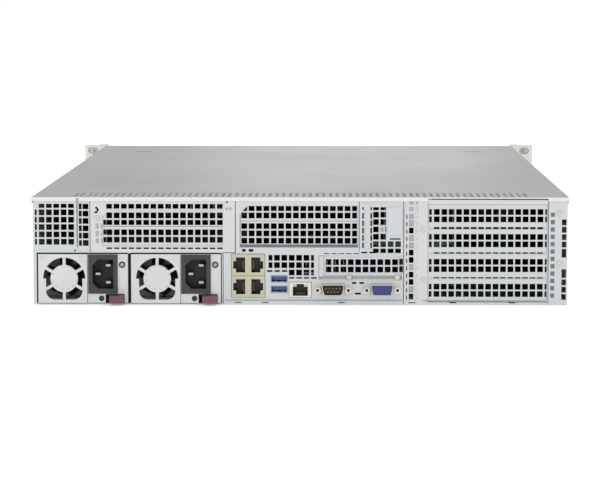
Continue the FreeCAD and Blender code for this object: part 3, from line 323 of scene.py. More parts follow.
finishes = {name: sheetMetal(name) for name in sheetLooks}
finishes.update({name: mouldedPlastic(name) for name in plasticLooks})
finishes["coverPlate"] = coverPlate()
finishes["holeShade"] = holeShade()
finishes["mainBoard"] = circuitBoard("mainBoard", (0.010, 0.058, 0.034), 0.34)
finishes["driveBoard"] = circuitBoard("driveBoard", (0.010, 0.050, 0.030), 0.36)
# painted shade for holes, recesses and bands: grey, dark and a middle grey
paintedShadeLooks = {"greyRecessShade": (0.42, 0.43, 0.45), "shadeRecess": (0.17, 0.175, 0.185),
               "bandShade": (0.38, 0.385, 0.39)}
finishes.update({name: greyRecessShade(name, tone) for name, tone in paintedShadeLooks.items()})
# Two stuffs in one node: the metal's tone, the other's, where the other lies, and gloss
mixedLooks = {
    "supplyCase": ((0.62, 0.63, 0.63), (0.59, 0.60, 0.61), behind(rear + 1.2), 0.42),
    "jackBlock": ((0.52, 0.495, 0.365), (0.025, 0.024, 0.022), behind(rear - 0.2), 0.34),
    "jackShell": ((0.70, 0.68, 0.62), (0.022, 0.022, 0.023), behind(rear - 0.2), 0.32),
    "usbShell": ((0.30, 0.34, 0.48), (0.020, 0.035, 0.13), behind(rear - 0.2), 0.34),
    "memoryStick": ((0.030, 0.130, 0.075), (0.020, 0.020, 0.022), belowTop(socketTop), 0.40),
    "riserCard": ((0.022, 0.105, 0.060), (0.024, 0.024, 0.026), besideCards, 0.40),
    "carrierCase": ((0.62, 0.63, 0.65), (0.070, 0.072, 0.078), behind(bezelBack), 0.40),
}
finishes.update({name: metalAndMould(name, *look) for name, look in mixedLooks.items()})

wornBy = {
    "zincSheet": ("chassis_base", "psu_cage", "vent_panel", "io_panel", "fan_wall", "drive_cage",
                  "front_panel"),
    "bracketSheet": ("left_riser_bracket", "middle_riser_bracket", "right_riser_bracket"),
    "blankSheet": ("left_slot_covers", "middle_slot_covers", "right_slot_covers", "low_profile_cover"),
    "coverPlate": ("top_cover",), "coverSheet": ("front_top_plate",), "earPaint": ("rack_ears",),
    "jackBlock": ("lan_ports",), "jackShell": ("management_port",), "usbShell": ("usb_ports",),
    "nickelShell": ("serial_port", "vga_port"), "buttonPlastic": ("power_button", "reset_button"),
    "mainBoard": ("motherboard",), "driveBoard": ("backplane",), "riserCard": ("riser_cards",),
    "memoryStick": ("memory_modules",), "finAluminium": ("cpu_heatsinks",), "shroudPlastic": ("air_shroud",),
    "fanPlastic": ("fan_housings", "fan_rotor_1", "fan_rotor_2", "fan_rotor_3", "psu_1_rotor", "psu_2_rotor"),
    "supplyCase": ("psu_1_case", "psu_2_case"), "inletPlastic": ("psu_1_inlet", "psu_2_inlet"),
    "releasePlastic": ("psu_1_latch", "psu_2_latch"),
    "carrierCase": [f"drive_carrier_{i}" for i in range(1, 9)],
    "leverPlastic": [f"carrier_lever_{i}" for i in range(1, 9)],
}
for finish, names in wornBy.items():
    for name in names:
        nodes[name].data.materials.clear()
        nodes[name].data.materials.append(finishes[finish])
print("finishes on", len(nodes), "nodes")


def about(point, angle, axis):
    # a turn about an axis through a point
    return Matrix.Translation(point) @ Matrix.Rotation(angle, 4, axis) @ Matrix.Translation(-Vector(point))


def boxShape(low, high):
    shape = bmesh.new()
    size = Matrix.Diagonal((*(high - low), 1))
    bmesh.ops.create_cube(shape, size=1.0, matrix=Matrix.Translation((low + high) / 2) @ size)
    return shape


def soften(shape, parts, offset, steps, kind="EDGES"):
    bmesh.ops.bevel(shape, geom=parts, offset=offset, offset_type="OFFSET", affect=kind, segments=steps,
                    profile=0.5, material=-1)


class Piece:
    # a mesh in the making, in millimetres, with one finish or more
    def __init__(self, name, *names):
        self.name, self.names = name, names
        self.mesh = bmesh.new()

    def keep(self, shape, finish):
        # takes a finished shape into the mesh
        for face in shape.faces:
            face.material_index = self.names.index(finish) if finish else 0
            face.smooth = True
        held = bpy.data.meshes.new("held")
        shape.to_mesh(held)
        shape.free()
        self.mesh.from_mesh(held)
        bpy.data.meshes.remove(held)

    def block(self, low, high, edge=0.0, finish=None, steps=2, turn=None):
        shape = boxShape(Vector(low), Vector(high))
        if edge:
            soften(shape, shape.edges[:], edge, steps)
        if turn:
            bmesh.ops.transform(shape, matrix=turn, verts=shape.verts[:])
        self.keep(shape, finish)

    def slab(self, x, z, width, height, near, far, edge=0.0, finish=None, steps=2):
        # a block about a spot on the connector side or the front, from near to far
        low, high = (x - width / 2, near, z - height / 2), (x + width / 2, far, z + height / 2)
        self.block(low, high, edge, finish, steps)

    def pad(self, x, y, width, depth, foot, top, edge=0.0, finish=None, steps=2):
        # a block about a spot on a level plate, from foot to top
        low, high = (x - width / 2, y - depth / 2, foot), (x + width / 2, y + depth / 2, top)
        self.block(low, high, edge, finish, steps)

    def tile(self, x, z, width, height, y, depth=0.5, finish=None, corner=0.0):
        # a small plate that lies in a sheet standing across Y
        reach = Vector((width / 2, 0, height / 2))
        shape = boxShape(Vector((x, y, z)) - reach, Vector((x, y + depth, z)) + reach)
        if corner:
            upright = [e for e in shape.edges if abs((e.verts[0].co - e.verts[1].co).y) > depth / 2]
            soften(shape, upright, corner, 2)
        self.keep(shape, finish)

    def drum(self, centre, radius, length, axis="Y", sides=24, edge=0.0, finish=None, tip=None):
        # a turned shape along an axis, from its centre
        shape = bmesh.new()
        turns = {"X": Matrix.Rotation(pi / 2, 4, "Y"), "Y": Matrix.Rotation(pi / 2, 4, "X"),
                 "Z": Matrix.Identity(4)}
        far = radius if tip is None else tip
        bmesh.ops.create_cone(shape, cap_ends=True, segments=sides, radius1=radius, radius2=far, depth=length,
                              matrix=Matrix.Translation(Vector(centre)) @ turns[axis])
        if edge:
            joined = [e for e in shape.edges if len(e.link_faces) == 2]
            soften(shape, [e for e in joined if any(len(f.verts) > 4 for f in e.link_faces)], edge, 2)
        self.keep(shape, finish)

    def screw(self, centre, radius, height, facing, finish=None, sides=16):
        # a pan head with a lobed socket, its back at centre and its head along facing
        shape = bmesh.new()
        bmesh.ops.create_cone(shape, cap_ends=True, segments=sides, radius1=radius, radius2=radius * 0.82,
                              depth=height, matrix=Matrix.Translation((0, 0, height / 2)))
        top = max(shape.faces, key=lambda f: f.calc_center_median().z)
        bmesh.ops.inset_region(shape, faces=[top], thickness=radius * 0.34, depth=0.0)
        for i, corner in enumerate(sorted(top.verts, key=lambda v: atan2(v.co.y, v.co.x))):
            if i % 4 > 1:
                corner.co.xy *= 0.62
        sunk = bmesh.ops.extrude_discrete_faces(shape, faces=[top])["faces"]
        for corner in sunk[0].verts:
            corner.co.z -= height * 0.55
            corner.co.xy *= 0.9
        turn = Vector(facing).to_track_quat("Z", "Y").to_matrix().to_4x4()
        bmesh.ops.transform(shape, matrix=Matrix.Translation(Vector(centre)) @ turn, verts=shape.verts[:])
        self.keep(shape, finish)

    def ring(self, centre, outer, inner, length, sides=24, finish=None):
        # a washer that stands across Y, as one section spun about its axis
        shape = bmesh.new()
        x, y, z = centre
        spots = [(inner, y), (outer - 0.25 * length, y), (outer, y + 0.3 * length), (outer, y + length),
                 (inner, y + length)]
        corners = [shape.verts.new((x + r, at, z)) for r, at in spots]
        edges = [shape.edges.new((a, b)) for a, b in zip(corners, corners[1:] + corners[:1])]
        bmesh.ops.spin(shape, geom=corners + edges, cent=(x, y, z), axis=(0, 1, 0), angle=2 * pi, steps=sides,
                       use_merge=True)
        bmesh.ops.remove_doubles(shape, verts=shape.verts[:], dist=0.0001)
        bmesh.ops.recalc_face_normals(shape, faces=shape.faces[:])
        self.keep(shape, finish)

    def done(self, body, sharp=32):
        for corner in self.mesh.verts:
            corner.co *= 0.001
        data = bpy.data.meshes.new(self.name)
        self.mesh.to_mesh(data)
        self.mesh.free()
        data.set_sharp_from_angle(angle=radians(sharp))
        for name in self.names:
            data.materials.append(finishes[name])
        made = bpy.data.objects.new(self.name, data)
        bpy.context.scene.collection.objects.link(made)
        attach(made, body)
        return made


def run(first, count, pitch=6.0):
    return [first + k * pitch for k in range(count)]


# Marks on the connector side in millimetres, painted shade where holes, slits and gaps are. A row names the
# node and corner that it is measured from, then the columns, the rows, and a mark's width, height and corner
# radius.
punchSizes = {"skin": 0.03, "sheet": 1.0, "depth": 0.4, "hole": 4.7,
              "slotRows": run(6.2, 4, 20.32) + run(12.2, 4, 20.32)}
hole = punchSizes["hole"]
outerPunchings = (
    ("psu_cage", "left top", (1.35,), run(-11.0, 5, -6.0), 1.7, hole, 0.3),
    ("psu_cage", "left top", (37.6,), run(-12.0, 5, -6.0) + [-6.1], 2.3, hole, 0.3),
    ("right_slot_covers", "left foot", (1.75,), punchSizes["slotRows"], 2.3, hole, 0.3),
    ("right_slot_covers", "right foot", (-0.95,), punchSizes["slotRows"], 1.5, hole, 0.3),
    # the sill's slits, and the hooked hole over the screw
    ("left_riser_bracket", "left foot", run(15.4, 16), (3.3,), 4.5, 1.3, 0.2),
    ("left_riser_bracket", "left foot", (5.0,), (36.2,), 1.9, 1.6, 0.4),
    ("left_riser_bracket", "left foot", (6.0,), (34.6,), 1.7, 2.6, 0.4),
    ("left_riser_bracket", "left foot", (4.6,), (32.6,), 2.6, 1.5, 0.4),
    # two columns beside the vent panel's pressed bar
    ("vent_panel", "left top", (2.85, 9.5), (-7.6,), 1.2, 2.4, 0.15),
    ("vent_panel", "left top", (2.85, 9.5), run(-13.6, 5, -6.0), 1.3, hole, 0.15),
    ("vent_panel", "right top", (-6.6,), (-32.4,), 8.7, 1.1, 0.3),
    # over the network jacks
    ("middle_riser_bracket", "left foot", (6.6,), (-1.35,), 3.0, 2.2, 0.3),
    ("middle_riser_bracket", "left foot", (12.4,), (-1.35,), 3.8, 2.2, 0.3),
    # under the field of holes, over the low slot and between the two D-shaped sockets
    ("io_panel", "left top", (37.7, 43.8, 49.8), (-18.2,), 4.4, 1.5, 0.2),
    ("io_panel", "left top", run(55.6, 4), (-23.8,), 4.4, 1.3, 0.2),
    ("io_panel", "left top", run(84.0, 5), (-3.9,), 4.6, 0.7, 0.15),
    ("io_panel", "left top", (114.6, 121.2), (-3.0,), 4.9, 1.3, 0.2),
    ("io_panel", "right top", (-1.7,), (-10.6, -16.6), 2.9, hole, 0.3),
    ("io_panel", "left foot", (106.4, 112.5), (17.1,), 3.9, 1.6, 0.6),
    ("io_panel", "left foot", (109.5,), (8.4,), 5.1, 1.6, 0.6),
    # along the sheets' foot
    ("io_panel", "left foot", (12.0, 34.0, 96.0), (1.0,), 5.6, 0.7, 0.2),
    ("right_riser_bracket", "left foot", (6.5, 40.0, 88.0), (1.0,), 5.6, 0.7, 0.2),
    # the shadow over the long slots, and the ticks beside the raised strip's holes
    ("right_riser_bracket", "left top", (69.9,), (0.1,), 95.4, 0.9, 0.0),
    ("right_riser_bracket", "left foot", (2.3,), run(5.2, 12), 0.8, 3.4, 0.0),
    # painted shade in the gaps round the supplies
    ("psu_1_case", "left top", (36.75,), (0.75,), 74.1, 0.75, 0.0),
    ("psu_2_case", "left top", (36.75,), (0.75,), 74.1, 0.75, 0.0),
    ("psu_1_case", "left foot", (-0.55,), (20.6,), 0.6, 41.0, 0.0),
    ("psu_2_case", "right foot", (0.5,), (20.6,), 0.5, 41.0, 0.0),
)
innerPunchings = (
    ("right_slot_covers", "left foot", run(6.9, 15), (19.36,), 4.6, 1.0, 0.2),
    ("right_slot_covers", "left foot", run(6.9, 15), (39.68,), 4.6, 1.05, 0.2),
    ("right_slot_covers", "left foot", run(6.9, 15), (60.0,), 4.6, 1.7, 0.2),
    ("left_riser_bracket", "left foot", (11.7,), (10.2, 16.4, 24.3), 2.4, 4.2, 0.3),
)
foldShadows = (
    ("psu_cage", "left foot", (34.9,), (65.15,), 0.9, 38.0, 0.0),
    ("left_riser_bracket", "left foot", (-0.25,), (21.75,), 0.55, 40.5, 0.0),
    ("left_riser_bracket", "right foot", (0.25,), (16.75,), 0.9, 30.5, 0.0),
)
# painted shade in recesses: dark, then grey where sheet lies close behind
darkRecessShade = (
    ("chassis_base", "right foot", (-12.1,), run(8.0, 12), 3.3, 3.6, 0.3),
    ("right_riser_bracket", "left foot", (10.5,), run(5.2, 12), 0.6, 1.6, 0.0),
)
paleRecessShade = (
    ("right_riser_bracket", "left top", (6.0,), (-8.0, -2.6), 3.6, 3.6, 0.3),
    ("right_riser_bracket", "left top", (10.4,), (-8.0, -2.6), 1.6, 3.6, 0.3),
    ("left_riser_bracket", "left foot", (5.6,), (9.3, 15.3, 21.4), 2.6, 4.2, 0.2),
    ("left_riser_bracket", "left foot", (9.2,), (9.3, 15.3, 21.4), 1.3, 4.2, 0.2),
    ("left_riser_bracket", "left foot", (111.0, 113.9), (35.6,), 2.0, 2.2, 0.2),
)
stripRecessShade = (
    ("right_riser_bracket", "left foot", (5.95,), (12.0, 30.0, 48.0, 54.0, 66.0, 72.0), 3.6, 4.3, 0.0),
)
# marks lie on the outer sheets, or on the blanks behind them
front, back = rear - punchSizes["skin"], rear + punchSizes["sheet"] - punchSizes["skin"]


def lay(made, table, y, finish=None, depth=punchSizes["depth"]):
    for node, corner, columns, rows, width, height, radius in table:
        low, high = place(node)
        x = high.x if "right" in corner else low.x
        z = high.z if "top" in corner else low.z
        for u in columns:
            for v in rows:
                made.tile(x + u, z + v, width, height, y, depth, finish, radius)


def middleOf(low, high):
    return (low.x + high.x) / 2, (low.z + high.z) / 2


def rearPunches():
    # dark tiles as painted shade where the sheets' holes, slits and gaps are
    marks = Piece("rear_punching_shade", "holeShade")
    lay(marks, outerPunchings, front)
    lay(marks, innerPunchings, back)
    # the round holes at the two seams
    for x, z in ((place("psu_cage")[0].x + 33.0, 44.4), (place("left_riser_bracket")[0].x + 111.2, 84.0)):
        marks.drum((x, front + 0.2, z), 0.8, 0.4, sides=12)
    marks.done("chassis")


def rearFolds():
    # folded edges and the shadows beside them
    cageLow, cageHigh = place("psu_cage")
    coversLow, coversHigh = place("right_slot_covers")
    folds = Piece("rear_folded_edges", "zincSheet", "shadeRecess", "bracketSheet")
    lay(folds, foldShadows, front, "shadeRecess")
    folds.block((cageLow.x + 35.5, rear - 0.5, 44.5), (cageLow.x + 36.3, rear + 0.2, cageHigh.z - 1.6), 0.25)
    folds.block((coversLow.x - 0.4, rear - 0.9, coversHigh.z + 0.1),
                (coversHigh.x + 0.4, rear - 0.02, place("right_riser_bracket")[1].z - 0.3), 0.3,
                "bracketSheet")
    folds.done("chassis")


def rearRecesses():
    # painted shade in recesses with sheet close behind them, and painted shade bands
    pale = Piece("rear_recess_shade", "greyRecessShade", "shadeRecess", "bandShade")
    lay(pale, darkRecessShade, front, "shadeRecess")
    lay(pale, paleRecessShade, front)
    lay(pale, stripRecessShade, rear + 0.6, depth=0.3)

    def band(x0, z0, x1, z1, near, finish):
        pale.block((x0, near, z0), (x1, near + punchSizes["depth"], z1), 0.1, finish, 1)

    # painted shade at the middle window's foot and left edge, then painted shade bands under the low slot and
    # along the sheets' foot
    low, high = place("middle_riser_bracket")
    band(low.x + 3.2, low.z + 1.1, high.x - 0.8, low.z + 3.6, back, "shadeRecess")
    band(low.x + 3.2, low.z + 3.6, low.x + 4.3, low.z + 27.6, back, "greyRecessShade")
    slotLow = place("low_profile_cover")[0]
    low, high = place("io_panel")
    band(slotLow.x + 1.2, slotLow.z + 1.6, high.x - 0.9, slotLow.z + 4.6, back, "bandShade")
    band(low.x + 1.0, 3.2, high.x - 0.6, 4.6, front, "bandShade")
    low, high = place("right_riser_bracket")
    band(low.x + 15.0, 3.2, high.x - 0.6, 4.4, front, "bandShade")
    # the seam between the stacked jacks
    x, z = middleOf(lanLow, lanHigh)
    seam = lanLow.y - punchSizes["skin"]
    pale.tile(x, z, lanHigh.x - lanLow.x - 0.6, 0.45, seam, punchSizes["depth"], "shadeRecess")
    pale.done("chassis")


rearPunches()
rearFolds()
rearRecesses()
print("rear sheets marked")

# Connectors, in millimetres
jackSizes = {"width": 9.6, "height": 12.2, "notch": 2.2, "columns": 14.6, "rows": 17.8, "wire": 0.45,
             "contacts": 8, "contactPitch": 1.02, "sill": 0.9}


def jackLining(made, middle, notchSide, upright):
    # eight sprung contacts and two lamps for one jack, whose notch faces notchSide
    size = jackSizes
    x, z = middle
    half, tall, wire, sill = size["width"] / 2, size["height"] / 2, size["wire"] / 2, size["sill"]

    def corners(u0, v0, u1, v1):
        spots = [(u0, v0), (u1, v1)]
        if upright:
            spots = [(-v, u) for u, v in spots]
        else:
            spots = [(notchSide * u, v) for u, v in spots]
        return [(min(a), max(a)) for a in zip(*((x + u, z + v) for u, v in spots))]

    def put(u0, v0, u1, v1, y0, y1, edgeSize, finish):
        (x0, x1), (z0, z1) = corners(u0, v0, u1, v1)
        made.block((x0, y0, z0), (x1, y1, z1), edgeSize, finish, 1)

    for k in range(size["contacts"]):
        v = (k - (size["contacts"] - 1) / 2) * size["contactPitch"]
        put(-half + sill, v - wire, -half + 1.4, v + wire, rear + 2.6, rear + 9.0, 0.1, "goldContact")
        put(-half + 1.4, v - wire, -half + 2.5, v + wire, rear + 5.4, rear + 9.0, 0.1, "goldContact")
    for side, lamp in ((-1, "lampAmber"), (1, "lampGreen")):
        low, high = sorted((side * (tall / 2 + 0.25), side * (tall - 0.15)))
        put(half - size["notch"] + 0.2, low, half - 0.1, high, rear - 0.85, rear + 2.0, 0.15, lamp)
    # the comb that parts the contacts
    put(-half + 0.05, 0.8 - tall, -half + sill, tall - 0.8, rear + 0.6, rear + 10.0, 0.15, "socketBlack")


def networkJacks():
    names = "goldContact", "lampAmber", "lampGreen", "socketBlack"
    made = Piece("network_jack_contacts_and_lamps", *names)
    x, z = middleOf(lanLow, lanHigh)
    for side in (-1, 1):
        for rise in (-1, 1):
            spot = x + side * jackSizes["columns"] / 2, z + rise * jackSizes["rows"] / 2
            jackLining(made, spot, side, False)
    made.done("chassis")
    alone = Piece("management_jack_contacts_and_lamps", *names)
    jackLining(alone, middleOf(jackLow, jackHigh), 1, True)
    alone.done("chassis")


usbSizes = {"pitch": 8.4, "height": 5.1, "shell": 0.8, "tongue": 2.6, "inset": 1.2, "pad": 1.0,
            "padPitch": 2.3, "spring": 3.6}


def usbLinings():
    made = Piece("usb_tongues_and_pads", "bluePlastic", "goldContact", "nickelShell")
    size = usbSizes
    middle = middleOf(usbLow, usbHigh)[0]
    wide = usbHigh.x - usbLow.x - 2 * size["inset"]
    for row in (0, 1):
        top = usbHigh.z - row * size["pitch"]
        low = top - size["height"]
        high = top - size["shell"]
        # the tongue's moulded face, its pads and the shell's four springs
        tongue = size["tongue"] - 0.02
        made.slab(middle, high - 0.02 - tongue / 2, wide, tongue, rear + 0.35, rear + 2.2, 0.2, "bluePlastic")
        for k in range(4):
            x = middle + (k - 1.5) * size["padPitch"]
            made.slab(x, high - size["tongue"] + 0.02, size["pad"], 0.16, rear + 0.8, rear + 9.0, 0.0,
                      "goldContact")
        for x in (usbLow.x + size["spring"], usbHigh.x - size["spring"]):
            made.slab(x, low + 0.6, 2.0, 0.3, rear + 0.6, rear + 5.0, 0.1, "nickelShell", 1)
    made.done("chassis")


dsubSizes = {"height": 12.6, "width": 18.4, "rise": 9.2, "taper": 1.4, "proud": 5.6, "rim": 0.5,
             "screws": 24.99, "serialFloor": 4.5, "serialPitch": 2.76, "serialRows": 1.42, "videoFloor": 2.0,
             "videoPitch": 2.29, "videoRows": 1.98}


def dsubInsert(made, x, floor, finish, thickness):
    # the moulded insert on a socket's floor
    size = dsubSizes
    inside = size["rim"] + 0.05
    half, rise, taper = size["width"] / 2 - inside, size["rise"] / 2 - inside, size["taper"]
    y = rear - size["proud"] + floor
    shape = bmesh.new()
    spots = [(-half + taper, -rise), (half - taper, -rise), (half, rise), (-half, rise)]
    floorFace = shape.faces.new([shape.verts.new((x + u, y - 0.02, size["height"] + v)) for u, v in spots])
    bmesh.ops.recalc_face_normals(shape, faces=[floorFace])
    soften(shape, floorFace.verts[:], 1.6, 3, "VERTICES")
    raised = bmesh.ops.extrude_face_region(shape, geom=shape.faces[:])["geom"]
    corners = [g for g in raised if isinstance(g, bmesh.types.BMVert)]
    bmesh.ops.translate(shape, vec=(0, -thickness, 0), verts=corners)
    bmesh.ops.recalc_face_normals(shape, faces=shape.faces[:])
    made.keep(shape, finish)
    return y - thickness


def dsubLinings():
    size = dsubSizes
    serialLow, serialHigh = place("serial_port")
    videoLow, videoHigh = place("vga_port")
    serial = Piece("serial_insert_and_pins", "socketBlack", "goldContact")
    x = middleOf(serialLow, serialHigh)[0]
    face = dsubInsert(serial, x, size["serialFloor"], "socketBlack", 0.3)
    for count, side in ((5, 1), (4, -1)):
        z = size["height"] + side * size["serialRows"]
        for k in range(count):
            spot = (x + (k - (count - 1) / 2) * size["serialPitch"], face - 1.6, z)
            serial.drum(spot, 0.5, 3.3, sides=12, edge=0.18, finish="goldContact")
    serial.done("chassis")
    video = Piece("video_insert_and_sockets", "videoPlastic", "socketBlack")
    x = middleOf(videoLow, videoHigh)[0]
    face = dsubInsert(video, x, size["videoFloor"], "videoPlastic", 0.5)
    # the socket holes as black discs: painted shade
    for row in (-1, 0, 1):
        for k in range(5):
            across = (k - 2) * size["videoPitch"] + row * 0.38
            spot = (x + across, face - 0.01, size["height"] + row * size["videoRows"])
            video.drum(spot, 0.55, 0.1, sides=12, finish="socketBlack")
    video.done("chassis")
    posts = Piece("jackscrew_threads", "socketBlack", "nickelShell")
    for low, high in ((serialLow, serialHigh), (videoLow, videoHigh)):
        for side in (-1, 1):
            x = middleOf(low, high)[0] + side * size["screws"] / 2
            tip, z = rear - size["proud"], size["height"]
            # the threaded hole as a black disc: painted shade
            posts.drum((x, tip - 0.02, z), 1.35, 0.1, sides=20, finish="socketBlack")
            posts.ring((x, tip - 0.14, z), 1.9, 1.4, 0.2, finish="nickelShell")
            posts.ring((x, rear - 0.9, z), 3.5, 2.7, 0.9, finish="nickelShell")
    posts.done("chassis")


networkJacks()
usbLinings()
dsubLinings()
print("connectors lined")


# Power supplies, in millimetres from the case's left side and foot
supplySizes = {"pinOffset": 4.2, "pinSpread": 7.0, "pin": (4.16, 2.16), "lamp": (68.8, 31.3),
               "screw": (51.9, 3.7), "hub": (22.2, 20.8), "slits": 12, "slitReach": 9.7,
               "bossLeft": (4.0, 36.2), "bossFoot": 36.6, "ridges": 4, "ridgePitch": 1.35}


def supplyParts(i):
    low = place(f"psu_{i}_case")[0]
    latchLow = place(f"psu_{i}_latch")[0]
    size = supplySizes
    left, foot = low.x, low.z
    body = f"psu_{i}"
    cx, cz = middleOf(*place(f"psu_{i}_inlet"))
    pins = Piece(f"supply_{i}_inlet_pins", "pinMetal")
    for across, up in ((1, 1), (1, -1), (-1, 0)):
        x, z = cx + across * size["pinOffset"], cz + up * size["pinSpread"]
        pins.slab(x, z, *size["pin"], rear + 1.6, rear + 15.0, 0.35, "pinMetal", 3)
    pins.done(body)
    face = Piece(f"supply_{i}_lamp_and_fixings", "socketBlack", "lampClear", "greyRecessShade", "screwSteel")
    u, v = size["lamp"]
    face.ring((left + u, rear - 0.35, foot + v), 2.7, 1.6, 0.5, 28, "socketBlack")
    face.drum((left + u, rear - 0.05, foot + v), 1.55, 0.4, sides=24, edge=0.15, finish="lampClear")
    # the screw hole as a black disc: painted shade
    u, v = size["screw"]
    face.drum((left + u, rear + 0.02, foot + v), 2.3, 0.2, sides=28, finish="socketBlack")
    for u in size["bossLeft"]:
        boss = (left + u, rear - 1.45, foot + size["bossFoot"])
        face.screw(boss, 2.3, 0.6, (0, -1, 0), "screwSteel", 24)
    # short slits pressed round the guard's hub, as blocks in painted grey shade
    u, v = size["hub"]
    for k in range(size["slits"]):
        turn = 2 * pi * (k + 0.5) / size["slits"]
        x, z = left + u + size["slitReach"] * cos(turn), foot + v + size["slitReach"] * sin(turn)
        face.block((x - 0.3, rear - 1.68, z - 0.9), (x + 0.3, rear - 1.4, z + 0.9), 0.1, "greyRecessShade", 1,
                   about((x, rear, z), -turn, "Y"))
    face.done(body)
    grip = Piece(f"supply_{i}_release_ridges", "releasePlastic")
    for k in range(size["ridges"]):
        x, y, z = latchLow.x + 1.2, latchLow.y, latchLow.z + 1.1 + k * size["ridgePitch"]
        grip.block((x, y - 0.3, z), (x + 9.0, y + 0.6, z + 0.6), 0.18, "releasePlastic")
    grip.done(f"psu_{i}_release")


for i in (1, 2):
    supplyParts(i)
print("power supplies fitted")


# Fixings on the connector side
fixingSizes = {"pan": 2.4, "rise": 1.1, "bracket": ((100.0, 62.2), (100.0, 20.9)),
               "column": ((210.6, 75.0), (211.0, 34.0)), "left": ((-165.0, 70.8),),
               "lowSlot": ((40.0, 22.7), (79.2, 22.7)), "tab": (18.2, 24.8, 5.6, 6.4),
               "underRows": (-320.0, -190.0, -60.0, 70.0, 200.0, 320.0), "underInset": 12.0,
               "underMiddle": 60.0, "flush": 3.0, "socket": 1.3}


def rearFixings():
    size = fixingSizes
    made = Piece("rear_screws", "screwSteel", "pinMetal")
    for x, z in size["bracket"] + size["column"] + size["left"] + size["lowSlot"]:
        made.screw((x, rear + 0.05, z), size["pan"], size["rise"], (0, -1, 0), sides=24)
    # the vent panel's hooked tab
    across, down, width, height = size["tab"]
    ventLow, ventHigh = place("vent_panel")
    x, z = ventLow.x + across, ventHigh.z - down
    made.screw((x, rear - 0.6, z + 0.2), 2.0, 0.9, (0, -1, 0), "pinMetal", 20)
    made.slab(x, z, width, height, rear - 0.6, rear + 0.1, 0.4, "screwSteel")
    made.done("chassis")


def underScrews():
    # flush screws under the tray
    size = fixingSizes
    made = Piece("underside_screws", "pinMetal", "shadeRecess")
    low, high = place("chassis_base")
    for x in (low.x + size["underInset"], -size["underMiddle"], size["underMiddle"],
              high.x - size["underInset"]):
        for y in size["underRows"]:
            made.drum((x, y, 0.03), size["flush"], 0.1, "Z", 24, 0.0, "pinMetal")
            made.drum((x, y, 0.0), size["socket"], 0.06, "Z", 6, 0.0, "shadeRecess")
    made.done("chassis")


rearFixings()
underScrews()


# Cover, in millimetres
ventSizes = {"first": -16.5, "pitch": 11.0, "count": 34, "front": -307.5, "back": -347.5, "width": 8.0,
             "bar": 2.8, "rung": 1.4, "rungs": 7, "step": 5.6, "firstRung": 3.2}


def coverMesh():
    # the punched ladder within each of the cover's slots
    size = ventSizes
    top = place("top_cover")[1].z
    middle, long = (size["front"] + size["back"]) / 2, size["front"] - size["back"]
    made = Piece("cover_vent_ladders", "coverSheet")
    for k in range(size["count"]):
        x = (size["first"] + k) * size["pitch"]
        made.pad(x, middle, size["bar"], long, top - 1.0, top - 0.02, 0.2, steps=1)
        for j in range(size["rungs"]):
            y = size["back"] + size["firstRung"] + j * size["step"]
            made.pad(x, y, size["width"], size["rung"], top - 0.95, top - 0.05, 0.15, steps=1)
    made.done("cover")


coverMesh()
print("cover filled")


# Sides, in millimetres
sideSizes = {"studs": (-312.0, -96.0, 118.0, 236.0), "studHeight": 44.0, "neck": 2.2, "head": 3.4,
             "screws": ((-338.0, 12.0), (-338.0, 70.0), (190.0, 12.0), (190.0, 74.0), (60.0, 74.0),
                        (-170.0, 74.0)),
             "rib": (-330.0, 250.0, 30.0, 34.0), "upperRib": (60.0, 26.0),
             "vents": 26, "ventRows": 3, "firstVent": (-318.0, 17.0), "ventPitch": (7.0, 4.2),
             "vent": (4.6, 2.2)}


def walls():
    # each side's sign and where its wall stands
    low, high = place("chassis_base")
    return (-1, low.x), (1, high.x)


def sideParts():
    size = sideSizes
    studs = Piece("rail_studs", "screwSteel")
    for side, wall in walls():
        for y in size["studs"]:
            studs.drum((wall + side * 0.5, y, size["studHeight"]), size["neck"], 1.4, "X", 20, 0.15)
            studs.drum((wall + side * 1.8, y, size["studHeight"]), size["head"], 1.2, "X", 28, 0.35)
        for y, z in size["screws"]:
            studs.screw((wall - side * 0.02, y, z), 2.6, 0.7, (side, 0, 0), sides=20)
    studs.done("chassis")
    ribs = Piece("side_pressed_ribs", "zincSheet")
    y0, y1, z0, z1 = size["rib"]
    shorter, higher = size["upperRib"]
    for side, wall in walls():
        x0, x1 = sorted((wall - side * 0.4, wall + side * 0.7))
        ribs.block((x0, y0, z0), (x1, y1, z1), 0.5, steps=3)
        ribs.block((x0, y0, z0 + higher), (x1, y1 - shorter, z1 + higher), 0.5, steps=3)
    ribs.done("chassis")
    # the side vents' holes as dark blocks: painted shade
    vents = Piece("side_vent_hole_shade", "holeShade")
    firstY, firstZ = size["firstVent"]
    along, up = size["ventPitch"]
    wide, tall = size["vent"]
    for side, wall in walls():
        x0, x1 = sorted((wall - side * 0.3, wall + side * 0.03))
        for k in range(size["vents"]):
            for row in range(size["ventRows"]):
                y, z = firstY + (k + (row % 2) / 2) * along, firstZ + row * up
                vents.block((x0, y - wide / 2, z - tall / 2), (x1, y + wide / 2, z + tall / 2))
    vents.done("chassis")


lidSizes = {"tab": 170.0, "width": 18.0, "ridges": 5, "pitch": 3.0, "firstRidge": 32.0}


def lidParts():
    # ridges in the release tabs
    size = lidSizes
    high = place("top_cover")[1]
    made = Piece("cover_tab_ridges", "coverSheet")
    for side in (-1, 1):
        for k in range(size["ridges"]):
            y = high.y - size["firstRidge"] + k * size["pitch"]
            made.pad(side * size["tab"], y, size["width"], 1.0, high.z - 1.0, high.z - 0.15, 0.3)
    made.done("cover")


sideParts()
lidParts()
print("sides and lid fitted")


# Bays and ears, in millimetres
baySizes = {"button": (7.4, 9.0), "lens": 1.6, "lensSpread": 4.0, "cell": 4.6, "rows": 3, "columns": 11,
            "pit": 1.9, "ridges": 4, "ridgePitch": 1.7, "lid": (92.0, 26.15, 0.4), "screwSpread": 43.0}


